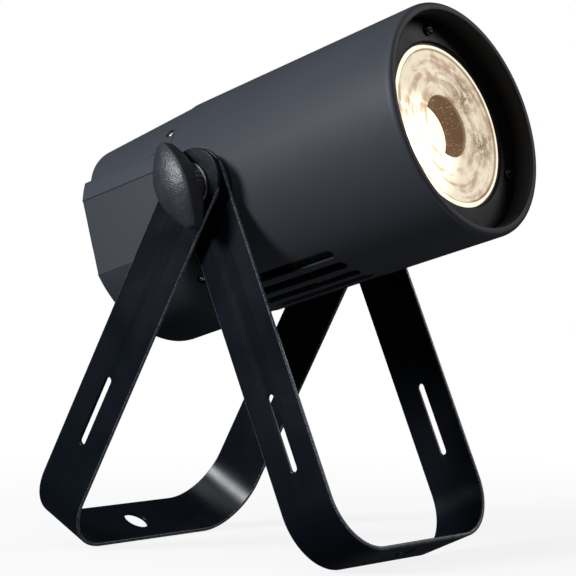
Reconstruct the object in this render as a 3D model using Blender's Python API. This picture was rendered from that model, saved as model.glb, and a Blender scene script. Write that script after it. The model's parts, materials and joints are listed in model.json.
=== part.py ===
"""LED spotlight head clamped between two folding strap brackets.

The head is a round barrel that tilts between the brackets. The two U-shaped straps open like a
pair of compasses to stand on the floor, or close, one inside the other, to hang from a clamp.
A wing knob on each side pulls straps, spacers and washers together on one common axis.

Every size is in metres. X runs along the clamp axis, the beam leaves towards -Y, and Z is up.
The floor is Z = 0, and the origin is under the centre of the whole object.

Barrel parts are drawn about their own -Y axis: "along" is the distance ahead of the clamp axis.
Clamp parts are drawn the same way, and "along" is then the distance out from the centre plane.
"""

import math

import bmesh
import bpy
from mathutils import Matrix, Vector

MM = 0.001
GAP = 0.3 * MM

# Stance
PIVOT_HEIGHT = 179.5 * MM
HEAD_TILT = math.radians(16.3)

# Strap brackets: the inner one nests in the outer one when they fold together
STRAP_WIDTH = 30 * MM
STRAP_THICKNESS = 2 * MM
STRAP_BEND_RADIUS = 29 * MM
STRAP_END_RISE = 3.5 * MM
OUTER_HALF_WIDTH = 69.4 * MM
OUTER_LEG = 197.4 * MM
INNER_HALF_WIDTH = 62.1 * MM
INNER_LEG = 189 * MM
LEG_SLOT_TOP = 105.5 * MM
LEG_SLOT_BOTTOM = 143.5 * MM
LEG_SLOT_WIDTH = 3.6 * MM
CLAMP_BOLT_HOLE_RADIUS = 6.5 * MM

# Clamp hardware on the common axis
STUD_RADIUS = 4 * MM
STUD_HOLE_RADIUS = 4.6 * MM
STUD_INNER_END = 49 * MM
THREAD_CLEARANCE = 0.3 * MM
BOSS_RADIUS = 13 * MM
BOSS_FACE = 58.2 * MM
BOSS_INNER_END = 46.5 * MM
INSERT_RADIUS = 6.2 * MM
SPACER_RADIUS = 12 * MM
CLAMP_WASHER_RADIUS = 11 * MM
CLAMP_WASHER_THICKNESS = 1.5 * MM
STUD_OUTER_END = 82 * MM
KNOB_REACH = 87 * MM
KNOB_HUB_RADIUS = 10 * MM
KNOB_HUB_LENGTH = 4 * MM
KNOB_WING_LENGTH = 44 * MM
KNOB_WING_WIDTH = 15.7 * MM
KNOB_TIP_WIDTH = 4 * MM
KNOB_CROWN = 6 * MM
KNOB_WING_BASE = 73.5 * MM
KNOB_STATIONS = [-1, -0.94, -0.8, -0.6, -0.35, 0, 0.35, 0.6, 0.8, 0.94, 1]
LEFT_KNOB_TURN = math.radians(-26)
RIGHT_KNOB_TURN = math.radians(38)

# Barrel
BARREL_FRONT = 113.6 * MM
SEAM = -25 * MM
SEAM_GAP = 0.6 * MM
BARREL_SEAM_RADIUS = 55.4 * MM
BARREL_DRAFT = 0.0165
WALL = 2.4 * MM
RIM_EDGE_RADIUS = 2.6 * MM
RIM_INNER_RADIUS = 52.9 * MM
PLATE_FACE = 103.9 * MM
PLATE_THICKNESS = 2.4 * MM
LEDGE_INNER_RADIUS = 49.5 * MM
LEDGE_THICKNESS = 3 * MM
SPIGOT_END = -36 * MM
SPIGOT_RADIUS = 51.4 * MM
SPIGOT_THICKNESS = 2 * MM

# Cooling slots in the belly of the barrel
VENT_COUNT = 8
VENT_PITCH = math.radians(10.2)
VENT_WIDTH = 5.6 * MM
VENT_REAR = -15 * MM
VENT_FRONT = 45 * MM

# Rear housing
REAR_END = -85.5 * MM
REAR_EDGE = 1.5 * MM
LOWER_RADIUS = 54.8 * MM
UPPER_REAR_RADIUS = 51 * MM
UPPER_RAKE = 7 * MM
SIDE_FLAT = 51.6 * MM
SPLIT_ANGLE = math.radians(32)
REAR_RIM_INNER_RADIUS = 48.3 * MM
REAR_LEDGE_INNER_RADIUS = 42 * MM
REAR_LEDGE_FACE = -82 * MM
REAR_LEDGE_THICKNESS = 2.5 * MM
REAR_PANEL_THICKNESS = 2 * MM
REAR_SCREW_CIRCLE = 45 * MM
SEAM_SCREW_ALONG = -29.5 * MM
SEAM_SCREW_ANGLE = math.radians(43)
SEAM_SCREW_DEPTH = 1.4 * MM
SEAM_SCREW_WELL_RADIUS = 2.4 * MM

# Optics
LENS_RADIUS = 39.6 * MM
LENS_FACE = 103.2 * MM
LENS_FLANGE_RADIUS = 42.3 * MM
LENS_FLANGE_FRONT = 101.2 * MM
LENS_FLANGE_REAR = 99.3 * MM
LENS_CONE_FRONT = 97 * MM
LENS_CONE_REAR = 66 * MM
LENS_CONE_FRONT_RADIUS = 40 * MM
LENS_CONE_REAR_RADIUS = 9 * MM
LENS_WELL_RADIUS = 15.5 * MM
LENS_WELL_FLOOR = 90.2 * MM
PLATE_OPENING_RADIUS = 40 * MM
PLATE_SCREW_CIRCLE = 46.6 * MM
EMITTER_FACE = 65 * MM
EMITTER_RADIUS = 5.5 * MM
EMITTER_THICKNESS = 1.2 * MM
LED_BOARD_RADIUS = 20 * MM
HEATSINK_FRONT = 61.3 * MM
HEATSINK_PLATE_REAR = 56 * MM
HEATSINK_REAR = 8 * MM
HEATSINK_RADIUS = 44 * MM
FIN_COUNT = 11
FIN_THICKNESS = 2 * MM

# Screws: head radius, head height, shank radius, shank length
SEAM_SCREW = (2 * MM, 1.2 * MM, 1.2 * MM, 4.5 * MM)
PLATE_SCREW = (2.6 * MM, 1.6 * MM, 1.3 * MM, 4.2 * MM)
BOARD_SCREW = (2.4 * MM, 1.5 * MM, 1.2 * MM, 4 * MM)
REAR_SCREW = (2.3 * MM, 1.5 * MM, 1.2 * MM, 4 * MM)
SCREW_HOLE_RADIUS = 1.5 * MM

# Driver electronics and rear connections
BOARD_HEIGHT = -27 * MM
BOARD_THICKNESS = 1.6 * MM
BOARD_WIDTH = 60 * MM
BOARD_REAR = -72 * MM
BOARD_FRONT = -14 * MM
TRANSFORMER_SIZE = (28 * MM, 24 * MM, 20 * MM)
TRANSFORMER_PLACE = (-9 * MM, -48 * MM)
CAPACITOR_RADIUS = 7.5 * MM
CAPACITOR_HEIGHT = 20 * MM
CAPACITOR_PLACES = [(19 * MM, -50 * MM), (19 * MM, -28 * MM)]
POST_RADIUS = 3 * MM
POST_LENGTH = 13 * MM
POST_X = 25 * MM
POST_INSET = 6 * MM
INLET_X = -12 * MM
INLET_MOUTH = -86.2 * MM
INLET_DEPTH = 17 * MM
INLET_SOCKET = (25 * MM, 17 * MM)
INLET_BODY = (28 * MM, 20 * MM)
INLET_FLANGE = (33 * MM, 25 * MM)
PIN_SIZE = (2 * MM, 9 * MM, 4 * MM)
PIN_PLACES = {"live": (-7 * MM, -2 * MM), "neutral": (7 * MM, -2 * MM), "earth": (0, 2.5 * MM)}
FUSE_X = 22 * MM
FUSE_BORE_RADIUS = 4.2 * MM
FUSE_BODY_RADIUS = 6 * MM
FUSE_BODY_FRONT = -62 * MM
FUSE_FLANGE_RADIUS = 7.5 * MM
FUSE_FLANGE_THICKNESS = 1.8 * MM
FUSE_CAP_RADIUS = 5.6 * MM
FUSE_CAP_LENGTH = 4 * MM
FUSE_PLUG_RADIUS = 3.6 * MM
FUSE_PLUG_FRONT = -66 * MM
FUSE_SLOT = (1.2 * MM, 2.4 * MM, 12 * MM)

# Leads inside the barrel: radius, and a route of (x, along, height) points
LED_LEAD_RADIUS = 1.3 * MM
LED_LEAD_ROUTE = [
    (6 * MM, -21 * MM, -23.5 * MM),
    (6 * MM, -12 * MM, -23.5 * MM),
    (7 * MM, -6 * MM, -32 * MM),
    (8 * MM, 2 * MM, -44 * MM),
    (9 * MM, 20 * MM, -47.6 * MM),
    (9 * MM, 44 * MM, -48 * MM),
    (9 * MM, 60 * MM, -47 * MM),
    (9 * MM, 65.5 * MM, -39 * MM),
    (8 * MM, 65.8 * MM, -27 * MM),
]
MAINS_LEAD_RADIUS = 1.5 * MM
MAINS_LEAD_ROUTE = [
    (-14 * MM, -64.5 * MM, 3 * MM),
    (-18 * MM, -61 * MM, 6 * MM),
    (-25 * MM, -52 * MM, 2 * MM),
    (-27.4 * MM, -44 * MM, -12 * MM),
    (-26.5 * MM, -40 * MM, -23 * MM),
]

# Worked out from the sizes above
HALF_STRAP = STRAP_WIDTH / 2
PLATE_REAR = PLATE_FACE - PLATE_THICKNESS
REAR_PANEL_FRONT = REAR_LEDGE_FACE - GAP
REAR_PANEL_REAR = REAR_PANEL_FRONT - REAR_PANEL_THICKNESS


def barrel_radius(along):
    """Outer radius of the front tube, which narrows a little towards the seam."""
    return BARREL_SEAM_RADIUS + BARREL_DRAFT * (along - SEAM)


def lean_angle(leg):
    """Angle from the vertical at which the lower edge of a strap's bar meets the floor."""
    reach = math.hypot(leg, HALF_STRAP)
    return math.atan2(HALF_STRAP, leg) + math.acos(PIVOT_HEIGHT / reach)


OUTER_LEAN = lean_angle(OUTER_LEG)
INNER_LEAN = lean_angle(INNER_LEG)


def pivot_offset():
    """Y of the clamp axis that puts the object's front and rear ends equally far from Y = 0."""
    rear_reach = OUTER_LEG * math.sin(OUTER_LEAN) + HALF_STRAP * math.cos(OUTER_LEAN)
    rim_centre = BARREL_FRONT - RIM_EDGE_RADIUS
    rim_radius = barrel_radius(rim_centre) - RIM_EDGE_RADIUS
    front_reach = rim_centre * math.cos(HEAD_TILT) + rim_radius * math.sin(HEAD_TILT)
    front_reach += RIM_EDGE_RADIUS
    return (front_reach - rear_reach) / 2


# ---------------------------------------------------------------- shape helpers


def loft(loops, ring=False):
    """Skin a row of equal loops, then cap both ends or join the last loop to the first."""
    shape = bmesh.new()
    rows = [[shape.verts.new(point) for point in loop] for loop in loops]
    pairs = list(zip(rows, rows[1:]))
    if ring:
        pairs.append((rows[-1], rows[0]))
    else:
        shape.faces.new(rows[0])
        shape.faces.new(rows[-1])
    for near, far in pairs:
        for i in range(len(near)):
            j = (i + 1) % len(near)
            shape.faces.new((near[i], near[j], far[j], far[i]))
    bmesh.ops.recalc_face_normals(shape, faces=shape.faces[:])
    return shape


def moved(shape, matrix):
    """The same shape after a move or a turn."""
    bmesh.ops.transform(shape, matrix=matrix, verts=shape.verts[:])
    return shape


def combined(shapes):
    """Several separate closed shapes held in one bmesh."""
    whole = bmesh.new()
    for shape in shapes:
        mesh = bpy.data.meshes.new("piece")
        shape.to_mesh(mesh)
        shape.free()
        whole.from_mesh(mesh)
        bpy.data.meshes.remove(mesh)
    return whole


def arc(centre, radius, start_degrees, end_degrees, steps):
    """Points of an arc in a plane, both ends included."""
    points = []
    for i in range(steps + 1):
        angle = math.radians(start_degrees + (end_degrees - start_degrees) * i / steps)
        points.append(
            (centre[0] + radius * math.cos(angle), centre[1] + radius * math.sin(angle))
        )
    return points


def barrel_point(radius, along, angle):
    """A point at a radius and an angle about the -Y axis, measured from +X towards +Z."""
    return (radius * math.cos(angle), -along, radius * math.sin(angle))


def solid_of_turn(profile, segments=32):
    """A turned solid with flat ends; the profile is (radius, along) from one end to the other."""
    loops = []
    for radius, along in profile:
        angles = [2 * math.pi * i / segments for i in range(segments)]
        loops.append([barrel_point(radius, along, angle) for angle in angles])
    return loft(loops)


def ring_of_turn(profile, segments=32):
    """A turned ring; the profile is a closed outline of (radius, along) points."""
    angles = [2 * math.pi * i / segments for i in range(segments)]
    return loft([[barrel_point(r, a, angle) for r, a in profile] for angle in angles], ring=True)


def washer(outer_radius, inner_radius, low, high, segments=24):
    """A flat ring between two distances along its axis."""
    outline = [(outer_radius, low), (outer_radius, high), (inner_radius, high), (inner_radius, low)]
    return ring_of_turn(outline, segments)


def rod(radius, low, high, segments=20):
    """A plain cylinder between two distances along its axis."""
    return solid_of_turn([(radius, low), (radius, high)], segments)


def block(size, centre):
    """A box from its X, Y and Z sizes and its centre."""
    shape = bmesh.new()
    bmesh.ops.create_cube(shape, size=1)
    return moved(shape, Matrix.Translation(centre) @ Matrix.Diagonal((*size, 1)))


def stadium(length, width, low, high, steps=6):
    """A bar with round ends, long in X and wide in Z, between two distances along -Y."""
    radius = width / 2
    reach = length / 2 - radius
    outline = arc((reach, 0), radius, -90, 90, steps) + arc((-reach, 0), radius, 90, 270, steps)
    return loft([[(x, -along, z) for x, z in outline] for along in (low, high)])


def facing_side(side):
    """Turn that points a shape's own -Y axis out along +X (side 1) or -X (side -1)."""
    return Matrix.Rotation(side * math.pi / 2, 4, "Z")


def facing_out(angle, along):
    """Turn that points a shape's own -Y axis straight out of the barrel at an angle."""
    turn = Matrix.Rotation(-angle, 4, "Y") @ Matrix.Rotation(math.pi / 2, 4, "Z")
    return Matrix.Translation((0, -along, 0)) @ turn


# ---------------------------------------------------------------- scene helpers


def clear_scene():
    for thing in list(bpy.data.objects):
        bpy.data.objects.remove(thing, do_unlink=True)


def make_material(name, colour, roughness, metallic=0.0):
    material = bpy.data.materials.new(name)
    material.use_nodes = True
    shader = material.node_tree.nodes["Principled BSDF"]
    shader.inputs["Base Color"].default_value = (*colour, 1)
    shader.inputs["Roughness"].default_value = roughness
    shader.inputs["Metallic"].default_value = metallic
    return material


def add_frame(name, parent=None, location=(0, 0, 0), turn=0.0):
    """An empty on the clamp axis; turn is about X."""
    frame = bpy.data.objects.new(name, None)
    bpy.context.collection.objects.link(frame)
    frame.parent = parent
    frame.location = location
    frame.rotation_euler = (turn, 0, 0)
    return frame


def add_part(name, shape, material, parent, matrix=None):
    """Turn a shape into a named object on a frame."""
    mesh = bpy.data.meshes.new(name)
    shape.to_mesh(mesh)
    shape.free()
    mesh.materials.append(material)
    mesh.shade_smooth()
    mesh.set_sharp_from_angle(angle=math.radians(35))
    part = bpy.data.objects.new(name, mesh)
    bpy.context.collection.objects.link(part)
    part.parent = parent
    part.matrix_local = matrix or Matrix.Identity(4)
    return part


def add_tool(name, shape, parent):
    """A hidden shape that other parts are cut by or joined with."""
    mesh = bpy.data.meshes.new(name)
    shape.to_mesh(mesh)
    shape.free()
    tool = bpy.data.objects.new(name, mesh)
    bpy.context.collection.objects.link(tool)
    tool.parent = parent
    tool.hide_render = True
    tool.display_type = "WIRE"
    return tool


def combine_with(part, tool, operation="DIFFERENCE"):
    modifier = part.modifiers.new(tool.name, "BOOLEAN")
    modifier.operation = operation
    modifier.solver = "EXACT"
    modifier.object = tool


# ---------------------------------------------------------------- brackets


def strap_shape(half_width, leg):
    """A flat bar bent into a U, rounded at its ends above the clamp axis; legs hang along -Z."""
    stations = []
    for x, z in arc((0, STRAP_END_RISE), HALF_STRAP, 84, 0, 7):
        stations.append(((-half_width, z), (-half_width + STRAP_THICKNESS, z), x))
    corner = (-half_width + STRAP_BEND_RADIUS, -leg + STRAP_BEND_RADIUS)
    outside = arc(corner, STRAP_BEND_RADIUS, 180, 270, 9)
    inside = arc(corner, STRAP_BEND_RADIUS - STRAP_THICKNESS, 180, 270, 9)
    for outer, inner in zip(outside, inside):
        stations.append((outer, inner, HALF_STRAP))
    for outer, inner, half in reversed(stations[:]):
        stations.append(((-outer[0], outer[1]), (-inner[0], inner[1]), half))
    loops = []
    for (outer_x, outer_z), (inner_x, inner_z), half in stations:
        loops.append(
            [
                (outer_x, -half, outer_z),
                (outer_x, half, outer_z),
                (inner_x, half, inner_z),
                (inner_x, -half, inner_z),
            ]
        )
    return loft(loops)


def strap_openings(half_width, leg):
    """Stud hole and slot through both legs, and the clamp bolt's hole through the bar."""
    across = half_width + STRAP_BEND_RADIUS
    stud_hole = moved(rod(STUD_HOLE_RADIUS, -across, across), facing_side(1))
    slot_length = LEG_SLOT_BOTTOM - LEG_SLOT_TOP
    slot = stadium(slot_length, LEG_SLOT_WIDTH, -across, across)
    upright = facing_side(1) @ Matrix.Rotation(math.pi / 2, 4, "Y")
    middle = Vector((0, 0, -(LEG_SLOT_TOP + LEG_SLOT_BOTTOM) / 2))
    moved(slot, Matrix.Translation(middle) @ upright)
    bolt_hole = rod(CLAMP_BOLT_HOLE_RADIUS, -STRAP_WIDTH, STRAP_WIDTH, 28)
    downward = Matrix.Rotation(math.pi / 2, 4, "X")
    moved(bolt_hole, Matrix.Translation((0, 0, -leg)) @ downward)
    return combined([stud_hole, slot, bolt_hole])


def add_bracket(name, half_width, leg, material, frame):
    bracket = add_part(name, strap_shape(half_width, leg), material, frame)
    combine_with(bracket, add_tool(name + "_holes", strap_openings(half_width, leg), frame))


# ---------------------------------------------------------------- clamp hardware


def knob_wing_section(share):
    """Outline across the knob's wing at a share of its half length, from -1 to 1."""
    widening = (KNOB_WING_WIDTH - KNOB_TIP_WIDTH) * (1 - share**2)
    half = (KNOB_TIP_WIDTH + widening) / 2
    edge = 0.3 * half
    front = KNOB_REACH - KNOB_CROWN * share**2
    back = KNOB_WING_BASE
    outline = [(half, back + edge), (half, front - edge), (half - edge, front)]
    outline += [(edge - half, front), (-half, front - edge), (-half, back + edge)]
    outline += [(edge - half, back), (half - edge, back)]
    return [(x, -along, share * KNOB_WING_LENGTH / 2) for x, along in outline]


def add_knob(side_name, side, turn, materials, frames):
    """Wing knob moulded onto a threaded stud."""
    base = OUTER_HALF_WIDTH + CLAMP_WASHER_THICKNESS + 2 * GAP
    placing = facing_side(side) @ Matrix.Rotation(turn, 4, "Y")
    wing = loft([knob_wing_section(share) for share in KNOB_STATIONS])
    knob = add_part("knob_" + side_name, wing, materials["knob"], frames["pivot"], placing)
    hub = rod(KNOB_HUB_RADIUS, base, base + KNOB_HUB_LENGTH, 24)
    hub_tool = add_tool("knob_hub_" + side_name, hub, frames["pivot"])
    hub_tool.matrix_local = placing
    combine_with(knob, hub_tool, "UNION")
    bore_radius = STUD_RADIUS + THREAD_CLEARANCE
    bore = rod(bore_radius, base - STRAP_THICKNESS, STUD_OUTER_END + GAP, 16)
    bore_tool = add_tool("knob_bore_" + side_name, bore, frames["pivot"])
    bore_tool.matrix_local = placing
    combine_with(knob, bore_tool)
    stud = solid_of_turn(
        [
            (STUD_RADIUS * 0.8, STUD_INNER_END),
            (STUD_RADIUS, STUD_INNER_END + 1 * MM),
            (STUD_RADIUS, STUD_OUTER_END),
        ],
        16,
    )
    add_part("stud_" + side_name, stud, materials["steel"], frames["pivot"], placing)


def add_clamp_stack(side_name, side, materials, frames):
    """Washers and spacer between knob, straps and barrel, and the barrel's threaded insert."""
    pivot = frames["pivot"]
    placing = facing_side(side)
    strap_inside = INNER_HALF_WIDTH - STRAP_THICKNESS
    friction_washer = washer(BOSS_RADIUS, STUD_HOLE_RADIUS, BOSS_FACE + GAP, strap_inside - GAP)
    add_part("friction_washer_" + side_name, friction_washer, materials["fibre"], pivot, placing)
    spacer_end = OUTER_HALF_WIDTH - STRAP_THICKNESS - GAP
    spacer = washer(SPACER_RADIUS, STUD_HOLE_RADIUS, INNER_HALF_WIDTH + GAP, spacer_end)
    add_part("spacer_" + side_name, spacer, materials["fibre"], pivot, placing)
    washer_base = OUTER_HALF_WIDTH + GAP
    washer_end = washer_base + CLAMP_WASHER_THICKNESS
    clamp_washer = washer(CLAMP_WASHER_RADIUS, STUD_HOLE_RADIUS, washer_base, washer_end)
    add_part("clamp_washer_" + side_name, clamp_washer, materials["steel"], pivot, placing)
    bore_radius = STUD_RADIUS + THREAD_CLEARANCE
    insert = washer(INSERT_RADIUS, bore_radius, BOSS_INNER_END + GAP, BOSS_FACE - GAP, 20)
    add_part("threaded_insert_" + side_name, insert, materials["brass"], frames["head"], placing)


# ---------------------------------------------------------------- barrel


def within_flat(radius, angle, flat):
    """Radius at an angle once the flats on both sides have cut the circle."""
    return min(radius, flat / max(abs(math.cos(angle)), 0.01))


def front_tube_section(angle):
    """Outline of the front tube's wall at one angle."""
    shoulder = BARREL_FRONT - RIM_EDGE_RADIUS
    edge_centre = (barrel_radius(shoulder) - RIM_EDGE_RADIUS, shoulder)
    ledge_face = PLATE_REAR - GAP
    ledge_back = ledge_face - LEDGE_THICKNESS
    inner_front = ledge_back - 4 * MM
    inner_rear = SEAM + 5 * MM
    spigot_flat = SIDE_FLAT - WALL - GAP
    spigot = within_flat(SPIGOT_RADIUS, angle, spigot_flat)
    spigot_inside = within_flat(
        SPIGOT_RADIUS - SPIGOT_THICKNESS, angle, spigot_flat - SPIGOT_THICKNESS
    )
    outline = [(barrel_radius(SEAM), SEAM)]
    outline += arc(edge_centre, RIM_EDGE_RADIUS, 0, 90, 3)
    outline += [
        (RIM_INNER_RADIUS + 0.8 * MM, BARREL_FRONT),
        (RIM_INNER_RADIUS, BARREL_FRONT - 0.8 * MM),
        (RIM_INNER_RADIUS, ledge_face),
        (LEDGE_INNER_RADIUS, ledge_face),
        (LEDGE_INNER_RADIUS, ledge_back),
        (barrel_radius(inner_front) - WALL, inner_front),
        (barrel_radius(inner_rear) - WALL, inner_rear),
        (spigot_inside, SEAM + 1 * MM),
        (spigot_inside, SPIGOT_END),
        (spigot, SPIGOT_END),
        (spigot, SEAM),
    ]
    return [barrel_point(radius, along, angle) for radius, along in outline]


def screw_shape(head_radius, head_height, shank_radius, shank_length):
    """Pan-head screw whose head sits on along = 0."""
    profile = [
        (shank_radius, -shank_length),
        (shank_radius, 0),
        (head_radius, 0),
        (head_radius, head_height * 0.6),
        (head_radius * 0.7, head_height),
    ]
    return solid_of_turn(profile, 12)


def seam_screw_angles():
    """Two screws in the upper cover and two in the lower housing."""
    return [
        SEAM_SCREW_ANGLE,
        math.pi - SEAM_SCREW_ANGLE,
        math.pi + SEAM_SCREW_ANGLE,
        -SEAM_SCREW_ANGLE,
    ]


def housing_radius(along, rear_radius):
    """Outer radius of a rear shell between the seam and the rear end."""
    share = (SEAM - along) / (SEAM - REAR_END)
    seam_radius = BARREL_SEAM_RADIUS - 0.4 * MM
    return seam_radius + (rear_radius - seam_radius) * share


def rear_shell_section(angle, rear_radius, rake):
    """Outline of a rear shell's wall at one angle; rake carries its rear end backwards."""
    start = SEAM - SEAM_GAP
    end = REAR_END
    inner_start = housing_radius(start, rear_radius) - WALL
    ledge_front = REAR_LEDGE_FACE + REAR_LEDGE_THICKNESS
    inner_end = housing_radius(ledge_front, rear_radius) - WALL
    outer = [
        (housing_radius(start, rear_radius), start),
        (rear_radius, end + REAR_EDGE - rake),
        (rear_radius - 0.3 * REAR_EDGE, end + 0.3 * REAR_EDGE - rake),
        (rear_radius - REAR_EDGE, end - rake),
    ]
    inner = [
        (REAR_RIM_INNER_RADIUS, end - rake),
        (REAR_RIM_INNER_RADIUS, REAR_LEDGE_FACE),
        (REAR_LEDGE_INNER_RADIUS, REAR_LEDGE_FACE),
        (REAR_LEDGE_INNER_RADIUS, ledge_front),
        (inner_end, ledge_front),
        (inner_start, start),
    ]
    outline = [(within_flat(radius, angle, SIDE_FLAT), along) for radius, along in outer]
    outline += [(within_flat(radius, angle, SIDE_FLAT - WALL), along) for radius, along in inner]
    return [barrel_point(radius, along, angle) for radius, along in outline]


def rear_shell_shape(start_angle, end_angle, steps, rear_radius, rake):
    """A rear shell between two angles; the rake grows towards the top."""
    loops = []
    for i in range(steps + 1):
        angle = start_angle + (end_angle - start_angle) * i / steps
        rise = (math.sin(angle) - math.sin(SPLIT_ANGLE)) / (1 - math.sin(SPLIT_ANGLE))
        loops.append(rear_shell_section(angle, rear_radius, rake * max(rise, 0)))
    return loft(loops)


def add_front_tube(materials, frames):
    head = frames["head"]
    angles = [2 * math.pi * i / 48 for i in range(48)]
    shape = loft([front_tube_section(angle) for angle in angles], ring=True)
    tube = add_part("front_tube", shape, materials["barrel"], head)
    bosses = []
    insert_holes = []
    for side in (-1, 1):
        bosses.append(moved(rod(BOSS_RADIUS, BOSS_INNER_END, BOSS_FACE, 28), facing_side(side)))
        hole = rod(INSERT_RADIUS + GAP, BOSS_INNER_END - WALL, BOSS_FACE + WALL, 20)
        insert_holes.append(moved(hole, facing_side(side)))
    combine_with(tube, add_tool("pivot_bosses", combined(bosses), head), "UNION")
    combine_with(tube, add_tool("insert_holes", combined(insert_holes), head))
    vents = []
    vent_middle = (VENT_REAR + VENT_FRONT) / 2
    lengthwise = Matrix.Rotation(math.pi / 2, 4, "Y")
    for i in range(VENT_COUNT):
        angle = -math.pi / 2 + VENT_PITCH * (i - (VENT_COUNT - 1) / 2)
        vent = stadium(VENT_FRONT - VENT_REAR, VENT_WIDTH, 46 * MM, 62 * MM, 4)
        moved(vent, lengthwise)
        turn = facing_out(angle, vent_middle) @ Matrix.Rotation(math.pi / 2, 4, "Y")
        vents.append(moved(vent, turn))
    combine_with(tube, add_tool("vent_slots", combined(vents), head))
    return tube


def add_rear_shells(materials, frames):
    head = frames["head"]
    slit = GAP / BARREL_SEAM_RADIUS
    upper_shape = rear_shell_shape(
        SPLIT_ANGLE + slit, math.pi - SPLIT_ANGLE - slit, 24, UPPER_REAR_RADIUS, UPPER_RAKE
    )
    upper = add_part("upper_cover", upper_shape, materials["barrel"], head)
    lower_shape = rear_shell_shape(
        math.pi - SPLIT_ANGLE + slit, 2 * math.pi + SPLIT_ANGLE - slit, 48, LOWER_RADIUS, 0
    )
    lower = add_part("lower_housing", lower_shape, materials["barrel"], head)
    return upper, lower


def add_housing_screws(materials, frames, tube, upper, lower):
    """Screws along the seam, in counterbored holes."""
    head = frames["head"]
    seat = housing_radius(SEAM_SCREW_ALONG, UPPER_REAR_RADIUS) - SEAM_SCREW_DEPTH
    reach = 8 * MM
    holes = []
    for number, angle in enumerate(seam_screw_angles(), 1):
        placing = facing_out(angle, SEAM_SCREW_ALONG)
        screw = moved(screw_shape(*SEAM_SCREW), Matrix.Translation((0, -(seat + GAP), 0)))
        add_part(f"seam_screw_{number}", screw, materials["steel"], head, placing)
        hole = solid_of_turn(
            [
                (SCREW_HOLE_RADIUS, seat - reach),
                (SCREW_HOLE_RADIUS, seat),
                (SEAM_SCREW_WELL_RADIUS, seat),
                (SEAM_SCREW_WELL_RADIUS, seat + reach),
            ],
            16,
        )
        holes.append(moved(hole, placing))
    tool = add_tool("seam_screw_holes", combined(holes), head)
    for part in (tube, upper, lower):
        combine_with(part, tool)


# ---------------------------------------------------------------- optics and cooling


def lens_cone_radius(along):
    """Radius of the lens's reflecting cone, which swells quickly from its rear end."""
    share = (along - LENS_CONE_REAR) / (LENS_CONE_FRONT - LENS_CONE_REAR)
    return LENS_CONE_REAR_RADIUS + (LENS_CONE_FRONT_RADIUS - LENS_CONE_REAR_RADIUS) * share**0.62


def cone_stations(steps=4):
    """Distances along the lens's cone, closer together at its rear end."""
    length = LENS_CONE_FRONT - LENS_CONE_REAR
    return [LENS_CONE_REAR + length * (i / steps) ** 1.6 for i in range(steps + 1)]


def lens_shape():
    """Collimating lens: a well at the front, a reflecting cone and a pocket for the emitter."""
    pocket = [
        (2 * MM, LENS_CONE_REAR + 9 * MM),
        (5 * MM, LENS_CONE_REAR + 7.5 * MM),
        (6.5 * MM, LENS_CONE_REAR + 4 * MM),
        (6.8 * MM, LENS_CONE_REAR),
    ]
    cone = [(lens_cone_radius(along), along) for along in cone_stations()]
    front = [
        (LENS_CONE_FRONT_RADIUS, LENS_FLANGE_REAR),
        (LENS_FLANGE_RADIUS, LENS_FLANGE_REAR),
        (LENS_FLANGE_RADIUS, LENS_FLANGE_FRONT),
        (LENS_RADIUS, LENS_FLANGE_FRONT),
        (LENS_RADIUS, LENS_FACE - 0.5 * MM),
        (LENS_RADIUS - 0.5 * MM, LENS_FACE),
        (LENS_WELL_RADIUS, LENS_FACE),
        (LENS_WELL_RADIUS - 0.5 * MM, LENS_WELL_FLOOR),
        (LENS_WELL_RADIUS * 0.5, LENS_WELL_FLOOR + 1.6 * MM),
        (LENS_WELL_RADIUS * 0.15, LENS_WELL_FLOOR + 2.2 * MM),
    ]
    return solid_of_turn(pocket + cone + front, 32)


def lens_holder_shape():
    """Black cup around the lens, with the flange that the front plate clamps."""
    clearance = 0.6 * MM
    thickness = 1.6 * MM
    seat = LENS_FLANGE_REAR - 1.5 * MM
    inner = [(lens_cone_radius(along) + clearance, along) for along in cone_stations()]
    outer = [(radius + thickness, along) for radius, along in inner[:-1]]
    flange_front = PLATE_REAR - GAP
    outline = outer + [
        (48.8 * MM, flange_front - 2.4 * MM),
        (48.8 * MM, flange_front),
        (LENS_FLANGE_RADIUS + 0.5 * MM, flange_front),
        (LENS_FLANGE_RADIUS + 0.5 * MM, seat),
        (LENS_CONE_FRONT_RADIUS + clearance, seat),
    ]
    outline += list(reversed(inner[:-1]))
    return ring_of_turn(outline, 32)


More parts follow.
